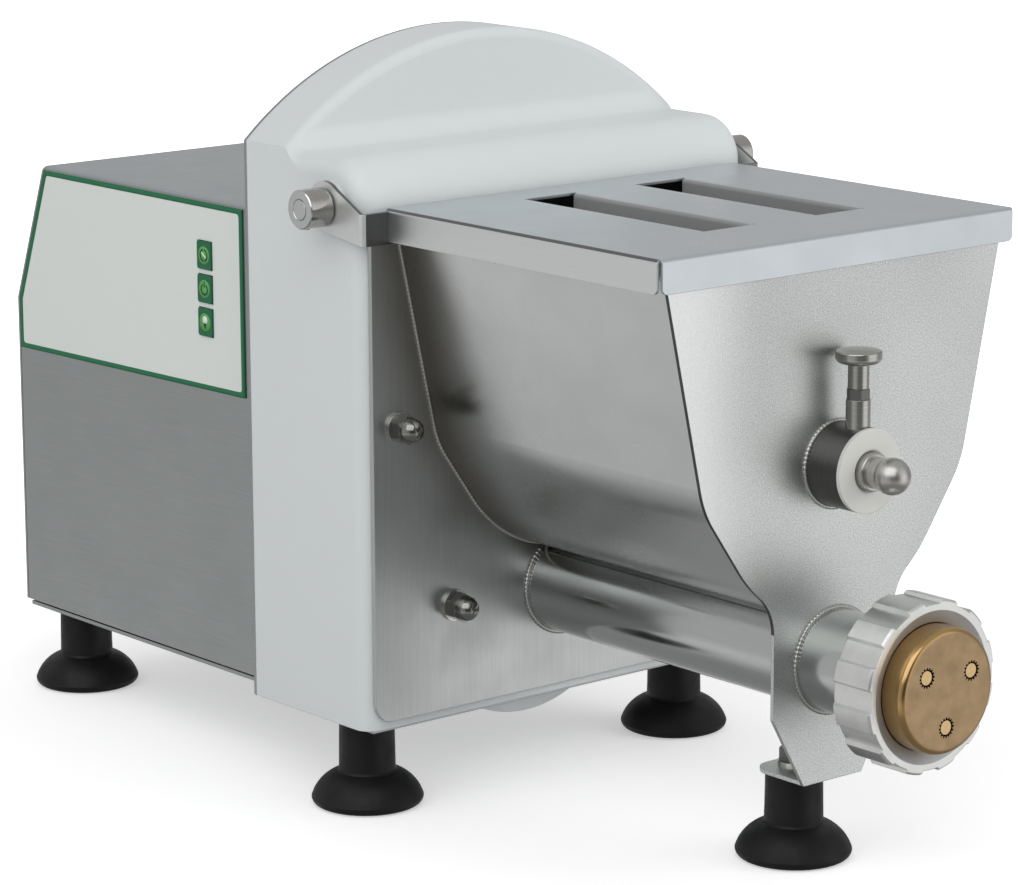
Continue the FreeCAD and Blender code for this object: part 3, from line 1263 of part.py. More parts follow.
def make_controls():
    x = -dim.housing_half - dim.label_wall
    slope = dim.slope_run / dim.slope_rise
    label_front = cover_back + dim.label_front
    label_top = dim.housing_top - dim.label_top
    rear = housing_back - dim.rear_wall * 2
    rear_top = rear - slope * (label_top - knee_z)
    path = [(label_front, dim.housing_top - dim.label_low_front),
            (rear, dim.housing_top - dim.label_low_rear), (rear, knee_z), (rear_top, label_top),
            (label_front, label_top)]
    blank = slab("LabelBlank", path, dim.label_wall, (x, 0, 0), "X")
    holes = [key_block("LabelKeyHole" + str(index), z, dim.face_gap, x - dim.label_wall, dim.label_wall * 3)
             for index, z in enumerate(key_heights(), start=1)]
    node("control_label", cut("ControlLabel", blank, holes))
    for label, z in zip(("stop_button", "start_button", "light_button"), key_heights()):
        key = key_block(label.title().replace("_", ""), z, 0 * dim.face_gap, x - dim.key_rise, dim.key_depth)
        corner = rounded(key.Name + "Round", key, dim.key_rise * 1.5,
                         lambda edge: near(edge.Length, dim.key_depth))
        node(label, corner)
    board_x = key_back() + dim.key_rise + 3.2
    board_y = key_y() - dim.board_width / 3
    middle = key_heights()[1]
    node("control_board", block("ControlBoard", (dim.board_wall, dim.board_width, dim.board_height),
                                (board_x, board_y, middle - dim.board_height / 2)))
    switches = [block("KeySwitch" + str(index), (3.2, 6, 6), (board_x - 3.2, key_y() - 3, z - 3))
                for index, z in enumerate(key_heights(), start=1)]
    node("key_switches", group("KeySwitches", switches))
    spacers = []
    wall_x = dim.housing_wall - dim.housing_half
    for index in range(4):
        y = board_y + 4 + (index % 2) * (dim.board_width - 8)
        z = middle + (index // 2 - 0.5) * (dim.board_height - 8)
        spacers.append(ring("BoardSpacer" + str(index + 1), 3, 0, board_x - wall_x, (wall_x, y, z), "X"))
    node("board_spacers", group("BoardSpacers", spacers))


def key_back():
    """Inner face of a push-button at rest."""
    return dim.key_depth - dim.housing_half - dim.label_wall - dim.key_rise


# Gears

def gear_shape(teeth, width, bore, phase):
    """Spur gear along Y about the origin; each flank is a chord of the involute, so it stays slim."""
    module = number(dim.gear_module)
    pressure = math.radians(20)
    pitch = module * teeth / 2
    base = pitch * math.cos(pressure)
    tip = pitch + module * 0.95
    foot = pitch - module * 1.2
    half_tooth = math.pi / (2 * teeth) - number(dim.backlash) / 2 / pitch
    involute_at_pitch = math.tan(pressure) - pressure
    flank = []
    for radius in (max(foot, base), pitch, tip):
        roll = math.acos(min(base / radius, 1))
        flank.append((radius, half_tooth + involute_at_pitch - (math.tan(roll) - roll)))
    root_half = flank[0][1] + 0.12 * math.pi / teeth
    flank.insert(0, (foot, root_half))
    spots = []
    for index in range(teeth):
        middle = phase + 2 * math.pi * index / teeth
        for radius, half in flank:
            spots.append(polar(radius, middle - half))
        for radius, half in reversed(flank):
            spots.append(polar(radius, middle + half))
    spots.append(spots[0])
    blank = Part.Face(Part.makePolygon(spots)).extrude(FreeCAD.Vector(0, width, 0))
    if not bore:
        return blank
    axis = FreeCAD.Vector(0, 1, 0)
    return blank.cut(Part.makeCylinder(bore, width + 2, FreeCAD.Vector(0, -1, 0), axis))


def polar(radius, angle):
    """A point in the plane across Y, angles counted from +X towards +Z."""
    return FreeCAD.Vector(radius * math.cos(angle), 0, radius * math.sin(angle))


def mesh_phase(teeth, own_phase, mate_teeth, direction):
    """Phase that puts the mate's tooth space on this gear's tooth, seen along the line of centres."""
    pitch = 2 * math.pi / teeth
    offset = (direction - own_phase) / pitch
    share = offset - math.floor(offset)
    mate_pitch = 2 * math.pi / mate_teeth
    return direction + math.pi + (share + 0.5) * mate_pitch


def gear(name, teeth, width, bore, at, phase):
    thing = doc.addObject("Part::Feature", name)
    thing.Shape = gear_shape(int(number(teeth)), number(width), number(bore), phase)
    return place(thing, at)


def make_gears():
    to_mixer = math.pi / 2
    to_lay = math.atan2(number(lay_z - barrel_z), number(lay_x))
    to_motor = math.atan2(number(dim.motor_rise), number(motor_x - lay_x))
    auger_teeth = int(number(dim.auger_teeth))
    mixer_teeth = int(number(dim.mixer_teeth))
    pinion_teeth = int(number(dim.pinion_teeth))
    lay_teeth = int(number(dim.lay_teeth))
    auger_phase = 0.0
    mixer_phase = mesh_phase(auger_teeth, auger_phase, mixer_teeth, to_mixer)
    pinion_phase = mesh_phase(auger_teeth, auger_phase, pinion_teeth, to_lay)
    lay_phase = pinion_phase
    motor_phase = mesh_phase(lay_teeth, lay_phase, pinion_teeth, to_motor)
    node("auger_gear", gear("AugerGear", dim.auger_teeth, dim.gear_width, dim.drive_radius,
                            (0, gear_y, barrel_z), auger_phase))
    node("mixer_gear", gear("MixerGear", dim.mixer_teeth, dim.gear_width, dim.mixer_drive_radius,
                            (0, gear_y, mixer_z), mixer_phase))
    node("lay_gear", gear("LayGear", dim.lay_teeth, dim.lay_width, dim.lay_shaft_radius,
                          (lay_x, lay_y, lay_z), lay_phase))
    pinion = gear("LayPinion", dim.pinion_teeth, dim.gear_width, 0, (lay_x, gear_y, lay_z), pinion_phase)
    start = chamber_y + dim.face_gap
    bar = ring("LayBar", dim.lay_shaft_radius, 0, stage_end - dim.face_gap - start, (lay_x, start, lay_z))
    node("layshaft", fuse("Layshaft", [bar, pinion]))
    drive = gear("MotorPinion", dim.pinion_teeth, dim.lay_width, 0, (motor_x, lay_y, motor_z), motor_phase)
    motor_bar = ring("MotorBar", dim.motor_shaft_radius, 0, motor_end - lay_y, (motor_x, lay_y, motor_z))
    node("motor_shaft", fuse("MotorShaft", [motor_bar, drive]))


# Shafts, auger and mixing paddles

def make_auger():
    start = front - dim.mouth_reach + dim.face_gap * 10
    length = mount_y - start - dim.face_gap * 10
    end_y = gear_y + dim.gear_width + dim.face_gap * 10
    socket = dim.drive_radius * 0.6
    overlap = dim.drive_radius * 2
    core = ring("AugerCoreBar", dim.auger_core, 0, length - overlap, (0, start, barrel_z))
    tail = ring("AugerTail", dim.drive_radius + dim.barrel_wall * 2, socket, overlap,
                (0, start + length - overlap, barrel_z))
    flight_length = length - overlap - dim.flight_wall * 2
    flight = place(auger_flight(number(flight_length)), (0, start, barrel_z), FORWARD)
    node("auger", fuse("Auger", [core, tail, flight]))
    nose = mount_y - dim.face_gap * 10
    path = [(0, nose - overlap), (socket, nose - overlap), (socket, nose), (dim.drive_radius, nose),
            (dim.drive_radius, end_y), (0, end_y)]
    node("auger_drive_shaft", turned("AugerDriveShaft", path, (0, 0, barrel_z)))


def auger_flight(length):
    """Helical flight as a swept trapezoid that reaches into the core."""
    outer = number(dim.auger_radius)
    inner = number(dim.auger_core) - 1
    wall = number(dim.flight_wall)
    spots = [FreeCAD.Vector(inner, 0, 0), FreeCAD.Vector(outer, 0, wall * 0.3),
             FreeCAD.Vector(outer, 0, wall * 0.8), FreeCAD.Vector(inner, 0, wall * 1.1)]
    section = Part.makePolygon(spots + [spots[0]])
    helix = Part.makeHelix(number(dim.auger_pitch), length, outer)
    flight = doc.addObject("Part::Feature", "AugerFlight")
    flight.Shape = Part.Wire(helix.Edges).makePipeShell([section], True, True)
    return flight


def make_mixer():
    nose = dim.mixer_radius * 1.8
    start = front + dim.plate_wall + dim.face_gap * 10
    end = mount_y - dim.face_gap * 10
    socket = dim.pin_radius + dim.fit_gap
    socket_end = front + nose + dim.face_gap * 2
    tail_socket = dim.mixer_drive_radius * 0.7
    overlap = dim.mixer_drive_radius * 2
    path = [(socket, start), (dim.mixer_radius, start), (dim.mixer_radius, end), (tail_socket, end),
            (tail_socket, end - overlap), (0, end - overlap), (0, socket_end), (socket, socket_end)]
    node("mixing_shaft", turned("MixingShaft", path, (0, 0, mixer_z)))
    paddles = []
    reach = dim.paddle_reach
    for index in range(int(number(dim.paddle_count))):
        y = front + dim.tub_length / 2 + (index - 1.5) * dim.paddle_pitch
        tag = str(index + 1)
        left = 0 * reach if index % 2 else -reach
        bar = cylinder("PaddleBar" + tag, dim.paddle_radius, reach, (left, y, mixer_z), "X")
        seat = cylinder("PaddleSeat" + tag, dim.mixer_radius, dim.paddle_radius * 4,
                        (0, y - dim.paddle_radius * 2, mixer_z))
        paddles.append(cut("Paddle" + tag, bar, [seat]))
    node("mixing_paddles", group("MixingPaddles", paddles))
    drive_nose = end - overlap
    end_y = gear_y + dim.gear_width + dim.face_gap * 10
    path = [(0, drive_nose), (tail_socket, drive_nose), (tail_socket, end), (dim.mixer_drive_radius, end),
            (dim.mixer_drive_radius, end_y), (0, end_y)]
    node("mixer_drive_shaft", turned("MixerDriveShaft", path, (0, 0, mixer_z)))


# Gear case in two stages, its lid, bearings and seals

def case_discs(name, start, length, grow):
    """Three overlapping discs round the final gears."""
    pinion_round = pinion_pitch_radius + dim.gear_module * 2 + dim.case_wall
    mixer_round = dim.gear_module * dim.mixer_teeth / 2 + dim.gear_module * 2 + dim.case_wall
    return [cylinder(name + "Auger", dim.case_radius + grow, length, (0, start, barrel_z)),
            cylinder(name + "Mixer", mixer_round + grow, length, (0, start, mixer_z)),
            cylinder(name + "Lay", pinion_round + grow, length, (lay_x, start, lay_z))]


def make_gear_case():
    neck_start = cover_front
    neck_length = case_y - neck_start
    outside = case_discs("CaseOutside", case_y, dim.case_wall + dim.case_depth, 0 * dim.case_wall)
    necks = [cylinder("CaseAugerNeck", dim.case_neck, neck_length, (0, neck_start, barrel_z)),
             cylinder("CaseMixerNeck", dim.mixer_neck, neck_length, (0, neck_start, mixer_z))]
    hollow = case_discs("CaseHollow", chamber_y, dim.case_depth * 2, -dim.case_wall)
    bores = []
    for name, radius, z in (("Auger", dim.drive_radius, barrel_z), ("Mixer", dim.mixer_drive_radius, mixer_z)):
        bores.append(cylinder("Case" + name + "Bore", radius + dim.bearing_wall, neck_length * 2,
                              (0, neck_start - dim.face_gap, z)))
    node("gear_case", cut("GearCase", fuse("GearCaseBlank", outside + necks), hollow + bores))


def make_case_lid():
    discs = case_discs("CaseLid", chamber_end, dim.case_wall, 0 * dim.case_wall)
    bores = [cylinder("CaseLidLayBore", dim.lay_shaft_radius + dim.fit_gap, dim.case_wall * 3,
                      (lay_x, chamber_end - dim.case_wall, lay_z))]
    node("gear_case_lid", cut("GearCaseLid", fuse("CaseLidBlank", discs), bores))


def make_stage_case():
    """Cup over the first stage; the motor is bolted to its back."""
    def pair(name, start, length, grow):
        return [cylinder(name + "Lay", lay_pitch_radius + dim.gear_module * 2 + dim.case_wall + grow, length,
                         (lay_x, start, lay_z)),
                cylinder(name + "Motor", pinion_pitch_radius + dim.gear_module * 2 + dim.case_wall + grow,
                         length, (motor_x, start, motor_z))]
    outside = pair("StageOutside", stage_y, dim.stage_depth + dim.case_wall, 0 * dim.case_wall)
    hollow = pair("StageHollow", stage_y - dim.case_wall, dim.stage_depth + dim.case_wall, -dim.case_wall)
    bore = cylinder("StageMotorBore", dim.motor_shaft_radius + dim.fit_gap, dim.case_wall * 3,
                    (motor_x, stage_end - dim.case_wall, motor_z))
    node("stage_case", cut("StageCase", fuse("StageBlank", outside), hollow + [bore]))


def make_bearings():
    rings = []
    for name, radius, z in (("Auger", dim.drive_radius, barrel_z), ("Mixer", dim.mixer_drive_radius, mixer_z)):
        rings.append(ring(name + "Bearing", radius + dim.bearing_wall, radius + dim.fit_gap,
                          dim.bearing_width, (0, chamber_y - dim.bearing_width - dim.face_gap, z)))
    node("ball_bearings", group("BallBearings", rings))
    seals = []
    for name, radius, z in (("Auger", dim.drive_radius, barrel_z), ("Mixer", dim.mixer_drive_radius, mixer_z)):
        seals.append(ring(name + "Seal", radius + dim.seal_wall, radius + dim.fit_gap, dim.seal_width,
                          (0, mount_y, z)))
    node("shaft_seals", group("ShaftSeals", seals))


# Motor

def make_motor():
    bell_y = motor_y + dim.bell_length
    frame_end = bell_y + dim.motor_length
    at_core = bell_y + (dim.motor_length - dim.core_length) / 2
    radius = dim.motor_radius
    bore = dim.motor_shaft_radius + dim.fit_gap
    bells = [ring("MotorBell" + tag, radius, bore, dim.bell_length, (motor_x, y, motor_z))
             for tag, y in (("Front", motor_y), ("Rear", frame_end))]
    node("motor_bells", group("MotorBells", bells))
    node("motor_frame", ring("MotorFrame", radius, radius - dim.motor_wall, dim.motor_length,
                             (motor_x, bell_y, motor_z)))
    gap_radius = dim.rotor_radius + dim.air_gap
    node("stator_core", ring("StatorCore", radius - dim.motor_wall, gap_radius, dim.core_length,
                             (motor_x, at_core, motor_z)))
    overhang = (dim.motor_length - dim.core_length) / 2 - dim.motor_wall
    windings = [ring("Winding" + tag, radius - dim.motor_wall * 2, gap_radius + dim.motor_wall, overhang,
                     (motor_x, y, motor_z))
                for tag, y in (("Front", at_core - overhang), ("Rear", at_core + dim.core_length))]
    node("stator_windings", group("StatorWindings", windings))
    node("rotor_core", ring("RotorCore", dim.rotor_radius, dim.motor_shaft_radius, dim.core_length,
                            (motor_x, at_core, motor_z)))


make_front_plate()
make_tub()
make_mounting_plate()
make_barrel()
make_ring_nut()
make_die()
make_hub()
make_locking_pin()
make_plunger()
make_lid()
make_lid_bracket()
make_hinge_hardware()
make_cover()
make_back_plate()
make_inner_frame()
make_feet(make_studs())
make_housing()
make_rear_panel()
make_rear_hardware()
make_base_plate()
make_controls()
make_gears()
make_auger()
make_mixer()
make_gear_case()
make_case_lid()
make_stage_case()
make_bearings()
make_motor()

doc.recompute()
faults = [item.Name for item in doc.Objects if {"Invalid", "Error"} & set(item.State)]
for item in nodes:
    if item.Shape.isNull() or not item.Shape.isValid() or not item.Shape.Solids:
        faults.append(item.Label)
if faults:
    raise RuntimeError("These are not sound: " + ", ".join(faults))

os.makedirs("parts", exist_ok=True)
for item in nodes:
    item.Shape.exportStep("parts/" + item.Label + ".step")
print(len(nodes), "nodes")
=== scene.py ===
import json
import math

import bmesh
import bpy
from mathutils import Matrix, Vector


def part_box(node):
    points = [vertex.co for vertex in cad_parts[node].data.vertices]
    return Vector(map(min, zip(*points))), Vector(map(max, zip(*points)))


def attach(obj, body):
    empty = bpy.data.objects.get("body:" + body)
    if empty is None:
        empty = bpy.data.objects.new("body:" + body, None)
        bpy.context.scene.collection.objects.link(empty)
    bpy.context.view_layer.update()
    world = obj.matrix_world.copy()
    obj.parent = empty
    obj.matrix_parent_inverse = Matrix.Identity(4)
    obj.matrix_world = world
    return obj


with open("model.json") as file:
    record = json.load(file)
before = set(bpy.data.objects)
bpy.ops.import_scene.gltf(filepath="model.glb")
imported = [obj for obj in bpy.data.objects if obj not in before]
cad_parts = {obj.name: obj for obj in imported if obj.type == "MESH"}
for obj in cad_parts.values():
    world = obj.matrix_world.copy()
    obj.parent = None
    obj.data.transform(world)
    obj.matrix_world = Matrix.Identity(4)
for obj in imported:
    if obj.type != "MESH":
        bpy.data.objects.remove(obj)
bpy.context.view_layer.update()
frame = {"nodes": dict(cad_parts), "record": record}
nodes = frame["nodes"]
scene = bpy.context.scene


# Places in the part's frame, in metres; the machine's front looks to -Y

def middle(name):
    """Middle of a piece's box."""
    low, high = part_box(name)
    return (low + high) / 2


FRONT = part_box("front_plate")[0].y
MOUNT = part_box("mounting_plate")[0].y
BARREL_Z = middle("extrusion_barrel").z
MIXER_Z = middle("hub_bush").z
BARREL_RADIUS = 0.025
HUB_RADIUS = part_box("hub_bush")[1].x
DIE_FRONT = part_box("die_body")[0].y
PLUNGER_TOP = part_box("plunger_body")[1].z
LID_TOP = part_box("lid_cover")[1].z
HOUSING_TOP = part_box("motor_housing")[1].z


# Node trees

MIX_FIRST, MIX_SECOND, MIX_RESULT = 6, 7, 2    # the colour sockets of a Mix node
NOISE_LOW, NOISE_HIGH = 0.3, 0.7               # most values of a noise lie between these


class Graph:
    """A node tree with short calls that add and link nodes."""

    def __init__(self, tree):
        self.tree = tree

    def feed(self, source, socket):
        """Link an output to an input, or set the input to a plain value."""
        if isinstance(source, bpy.types.NodeSocket):
            self.tree.links.new(source, socket)
        else:
            socket.default_value = source

    def add(self, kind, **values):
        """A new node; each keyword feeds the input of that name."""
        node = self.tree.nodes.new(kind)
        for key, value in values.items():
            self.feed(value, node.inputs[key.replace("_", " ")])
        return node

    def along(self, vector, axis):
        """One coordinate of a vector."""
        return self.add("ShaderNodeSeparateXYZ", Vector=vector).outputs[axis]

    def compute(self, operation, *values):
        node = self.tree.nodes.new("ShaderNodeMath")
        node.operation = operation
        for value, socket in zip(values, node.inputs):
            self.feed(value, socket)
        return node.outputs[0]

    def ranged(self, value, low, high, first=0.0, last=1.0, smooth=False):
        """Map the range from low to high onto the range from first to last."""
        node = self.add("ShaderNodeMapRange", Value=value, From_Min=low, From_Max=high,
                        To_Min=first, To_Max=last)
        if smooth:
            node.interpolation_type = "SMOOTHSTEP"
        return node.outputs["Result"]

    def mix(self, blend, factor, first, second):
        """Blend two colours."""
        node = self.add("ShaderNodeMix", Factor=factor)
        node.data_type = "RGBA"
        node.blend_type = blend
        self.feed(first, node.inputs[MIX_FIRST])
        self.feed(second, node.inputs[MIX_SECOND])
        return node.outputs[MIX_RESULT]

    def ramp(self, value, stops):
        """A grey ramp over 0-1 from (place, brightness) pairs."""
        node = self.add("ShaderNodeValToRGB", Fac=value)
        elements = node.color_ramp.elements
        for element, (place, level) in zip(elements, (stops[0], stops[-1])):
            element.position = place
            element.color = (level, level, level, 1)
        for place, level in stops[1:-1]:
            elements.new(place).color = (level, level, level, 1)
        return node.outputs["Color"]

    def choose(self, factor, first, second):
        """Switch between two shaders."""
        node = self.tree.nodes.new("ShaderNodeMixShader")
        for source, socket in zip((factor, first, second), node.inputs):
            self.feed(source, socket)
        return node.outputs[0]

    def seen_by_camera(self):
        """1 for what the camera sees straight, 0 for light and reflections."""
        return self.add("ShaderNodeLightPath").outputs["Is Camera Ray"]


# Finishes, with lit and shaded copies for painted light and shade, all procedural, in object coordinates
# (metres)

MATERIALS = {}


def srgb(red, green, blue):
    """Linear colour from 0-255 display values."""
    out = []
    for value in (red, green, blue):
        value /= 255
        out.append(value / 12.92 if value <= 0.04045 else ((value + 0.055) / 1.055) ** 2.4)
    return (*out, 1)


class Surface(Graph):
    """One Principled material and the chain of nodes that feeds it."""

    def __init__(self, name, colour, rough, metallic=0.0, edge=0.0, **inputs):
        """edge is the radius of the soft light on sharp edges."""
        self.material = bpy.data.materials.new(name)
        self.material.use_nodes = True
        super().__init__(self.material.node_tree)
        MATERIALS[name] = self.material
        self.shader = self.tree.nodes["Principled BSDF"]
        self.shade("Base Color", colour)
        self.shade("Roughness", rough)
        self.shade("Metallic", metallic)
        for key, value in inputs.items():
            self.shade(key.replace("_", " "), value)
        self.colour = colour
        self.normal = None
        self.coordinates = self.add("ShaderNodeTexCoord").outputs["Object"]
        if edge:
            bevel = self.add("ShaderNodeBevel", Radius=edge)
            bevel.samples = 6
            self.normal = bevel.outputs["Normal"]
            self.shade("Normal", self.normal)

    def shade(self, socket, source):
        """Feed an input of the Principled shader."""
        self.feed(source, self.shader.inputs[socket])

    def noise(self, scale, stretch=(1, 1, 1), detail=3.0):
        """Noise with so many features per metre, stretched along the axes with small factors."""
        scales = tuple(scale * value for value in stretch)
        mapping = self.add("ShaderNodeMapping", Vector=self.coordinates, Scale=scales)
        texture = self.add("ShaderNodeTexNoise", Vector=mapping.outputs["Vector"], Scale=1.0, Detail=detail,
                           Roughness=0.6)
        return texture.outputs["Fac"]

    def spread(self, noise, low, high):
        return self.ranged(noise, NOISE_LOW, NOISE_HIGH, low, high)

    def bump(self, noise, strength, distance):
        node = self.add("ShaderNodeBump", Height=noise, Strength=strength, Distance=distance)
        if self.normal:
            self.feed(self.normal, node.inputs["Normal"])
        self.normal = node.outputs["Normal"]
        self.shade("Normal", self.normal)

    def roughness(self, noise, low, high):
        self.shade("Roughness", self.spread(noise, low, high))

    def tint(self, noise, low, high):
        """Darken or lighten the colour by a noise."""
        self.colour = self.mix("MULTIPLY", 1.0, self.colour, self.spread(noise, low, high))
        self.shade("Base Color", self.colour)

    def fade(self, axis, start, end, colour):
        """Turn to another colour between two places on an axis."""
        share = self.ranged(self.along(self.coordinates, axis), start, end, smooth=True)
        self.colour = self.mix("MIX", share, self.colour, colour)
        self.shade("Base Color", self.colour)


BLAST_GRAIN = 1500     # features per metre
BRUSH_GRAIN = 2600
BRUSH_ALONG = 0.012    # share of the grain's scale along the brushing
LATHE_GRAIN = 2200
LATHE_ROUND = 0.01     # share of the grain's scale round the turned axis


def bead_blasted():
    """Fine matt grain, and a painted highlight: paler towards the left edge of the front plate."""
    steel = Surface("bead_blasted_steel", srgb(214, 217, 215), 0.36, 1.0, edge=0.0005)
    steel.bump(steel.noise(BLAST_GRAIN, detail=2.0), strength=0.32, distance=0.0003)
    steel.roughness(steel.noise(1250, detail=2.0), 0.28, 0.48)
    steel.tint(steel.noise(BLAST_GRAIN, detail=2.0), 0.7, 1.22)
    steel.tint(steel.noise(9, detail=1.0), 0.88, 1.06)
    # Painted highlight: paler towards the plate's left edge
    steel.fade("X", start=-0.045, end=-0.1, colour=srgb(236, 238, 237))


def tub_sheet():
    """Plain sheet turning a dull brown towards the mounting plate."""
    steel = Surface("smooth_steel", srgb(208, 210, 209), 0.27, 1.0, edge=0.0004)
    steel.bump(steel.noise(BRUSH_GRAIN, (1, BRUSH_ALONG, 1), 2.0), strength=0.02, distance=0.0001)
    steel.roughness(steel.noise(30, detail=2.0), 0.23, 0.31)
    steel.tint(steel.noise(14, (1, 0.5, 1), 2.0), 0.94, 1.05)
    steel.fade("Y", start=MOUNT - 0.05, end=MOUNT - 0.004, colour=srgb(128, 122, 114))


def satin(name, colour, rough, axis="Y", depth=0.12, streak=0.06):
    """Brushed sheet; the grain runs along one axis."""
    steel = Surface(name, colour, rough, 1.0, edge=0.0004)
    stretch = tuple(BRUSH_ALONG if each == axis else 1 for each in "XYZ")
    lines = steel.noise(BRUSH_GRAIN, stretch, 2.0)
    steel.bump(lines, strength=depth, distance=0.0001)
    steel.roughness(steel.noise(30, detail=2.0), rough * 0.85, rough * 1.15)
    steel.tint(lines, 1 - streak, 1 + streak)


def turned(name, colour, rough, axis, depth):
    """Turned on a lathe: fine rings round one axis."""
    steel = Surface(name, colour, rough, 1.0, edge=0.0003)
    stretch = tuple(1 if each == axis else LATHE_ROUND for each in "XYZ")
    rings = steel.noise(LATHE_GRAIN, stretch, 2.0)
    steel.bump(rings, strength=depth, distance=0.0001)
    steel.tint(rings, 0.9, 1.06)


def polished(name, colour, rough):
    metal = Surface(name, colour, rough, 1.0, edge=0.0003)
    metal.roughness(metal.noise(300), rough * 0.8, rough * 1.3)


def cast(name, colour, rough, metallic=1.0):
    metal = Surface(name, colour, rough, metallic, edge=0.0006)
    metal.bump(metal.noise(700, detail=4.0), strength=0.18, distance=0.0003)
    metal.tint(metal.noise(60), 0.92, 1.04)


def bronze():
    metal = Surface("bronze", srgb(175, 148, 114), 0.36, 1.0, edge=0.0003)
    metal.bump(metal.noise(900, detail=2.0), strength=0.08, distance=0.0002)
    metal.tint(metal.noise(90), 0.84, 1.05)
    metal.roughness(metal.noise(140), 0.3, 0.46)


def painted(name, colour, rough, depth=0.05, edge=0.0008, coat=0.0):
    """Smooth paint or plastic with a faint unevenness, and a clear coat where one is given."""
    paint = Surface(name, colour, rough, edge=edge, Coat_Weight=coat, Coat_Roughness=0.3)
    paint.bump(paint.noise(420, detail=2.0), strength=depth, distance=0.0003)
    paint.roughness(paint.noise(50), rough * 0.92, rough * 1.08)


def printed(name, colour):
    """Ink on the label and on the keys."""
    painted(name, colour, 0.5, depth=0.02, edge=0.0)


def rubber():
    black = Surface("black_rubber", srgb(20, 20, 21), 0.5, edge=0.0006, Specular_IOR_Level=0.28)
    black.bump(black.noise(800), strength=0.12, distance=0.0002)
    black.roughness(black.noise(120), 0.42, 0.6)


bead_blasted()
tub_sheet()
bronze()
rubber()

satin("satin_steel", srgb(166, 169, 169), 0.36)
satin("plain_steel", srgb(150, 151, 152), 0.35)
satin("mounting_steel", srgb(190, 193, 192), 0.36, axis="Z", depth=0.1)
satin("lid_steel", srgb(206, 212, 216), 0.32, depth=0.02, streak=0.02)
# Painted light: a paler copy of the lid steel for the lid's left flange
satin("lid_flange_lit_steel", srgb(228, 231, 229), 0.4, depth=0.02, streak=0.02)
# Painted shade: a darker copy of the lid steel for the fold along the lid's left flange
satin("lid_fold_shade_steel", srgb(120, 122, 122), 0.36, depth=0.02, streak=0.02)
satin("barrel_steel", srgb(196, 198, 197), 0.17, depth=0.03, streak=0.03)
# Painted light: a paler steel for the up-facing faces of the housing and the rear panel
satin("housing_top_lit_steel", srgb(188, 192, 195), 0.4, depth=0.05)
satin("edge_shade", srgb(84, 84, 82), 0.35, axis="Z", depth=0.05)

# Painted shade: a darker, glossier copy of the turned steel for the hinge collars' round sides
turned("collar_side_shade", srgb(176, 174, 170), 0.12, "X", 0.1)
turned("cross_turned", srgb(208, 211, 210), 0.19, "X", 0.16)
turned("upright_turned", srgb(180, 179, 174), 0.19, "Z", 0.15)
turned("pin_steel", srgb(190, 189, 185), 0.3, "Y", 0.12)
turned("hub_steel", srgb(112, 112, 110), 0.34, "Y", 0.25)

polished("polished_steel", srgb(196, 195, 191), 0.2)
polished("bright_steel", srgb(142, 142, 138), 0.09)
polished("bronze_turned", srgb(190, 156, 106), 0.16)
polished("bronze_pale", srgb(216, 186, 136), 0.3)
polished("copper", srgb(190, 110, 70), 0.35)
polished("brass_grub", srgb(190, 160, 90), 0.3)

cast("cast_aluminium", srgb(230, 231, 229), 0.33, 0.9)
cast("case_aluminium", srgb(214, 217, 218), 0.5, 0.3)
# Painted shade: a darker, less metallic copy of the cast aluminium for the ring nut's dish
cast("nut_dish_shade", srgb(196, 198, 200), 0.5, 0.75)
cast("bracket_steel", srgb(224, 226, 225), 0.36, 0.7)
cast("bracket_shade", srgb(122, 123, 122), 0.3)
cast("weld", srgb(196, 196, 192), 0.3)

painted("cover_white", srgb(218, 223, 223), 0.45, coat=0.1)
painted("white_plastic", srgb(217, 217, 212), 0.45)
painted("label_film", srgb(225, 230, 226), 0.4, depth=0.02, edge=0.0, coat=0.1)
painted("key_green", srgb(0, 100, 62), 0.5, depth=0.03, edge=0.0004)
painted("black_plastic", srgb(30, 30, 31), 0.4, depth=0.06)
painted("board_green", srgb(18, 92, 52), 0.35, coat=0.25)
painted("motor_paint", srgb(74, 80, 84), 0.4, coat=0.25)
# Painted shade: a matt grey for the turned-down sides inside the lid's slots
painted("lid_slot_shade", srgb(150, 152, 151), 0.5)
# Painted shade: near-black bronze for the walls inside the die's holes and the cores' sides
painted("bronze_hole_shade", srgb(30, 24, 18), 0.6)

printed("key_light", srgb(92, 176, 88))
printed("key_dark", srgb(6, 62, 34))
printed("key_white", srgb(240, 243, 240))
printed("border_green", srgb(0, 110, 68))


# What each piece is finished with: its slot's finish, or a closer one of its own; some faces get painted
# light and shade

OVERRIDE = {
    "mounting_plate": "mounting_steel",
    "lid_cover": "lid_steel",
    "lid_bracket": "bracket_steel",
    "hinge_collars": "cross_turned",
    "hinge_pins": "cross_turned",
    "plunger_body": "upright_turned",
    "plunger_knob": "upright_turned",
    "locking_pin": "pin_steel",
    "shaft_hub": "hub_steel",
    "die_cores": "bronze_pale",
    "extrusion_barrel": "barrel_steel",
    "acorn_nuts": "bright_steel",
    "foot_nuts": "hub_steel",
    "foot_studs": "bright_steel",
}


def finish_pieces():
    """Give every CAD piece its finish."""
    slot_of = {entry["node"]: entry["material_slot"] for entry in frame["record"]["subparts"]}
    for name, piece in nodes.items():
        piece.data.materials.clear()
        piece.data.materials.append(MATERIALS[OVERRIDE.get(name, slot_of[name])])


def paint_faces(name, material, chosen):
    """Give some faces another material, a finish of their own or painted light and shade; chosen takes a
    face's centre and normal in the part's frame.
    """
    mesh = nodes[name].data
    mesh.materials.append(MATERIALS[material])
    for face in mesh.polygons:
        if chosen(face.center, face.normal):
            face.material_index = len(mesh.materials) - 1


def from_barrel(centre):
    """Distance from the barrel's axis."""
    return math.hypot(centre.x, centre.z - BARREL_Z)


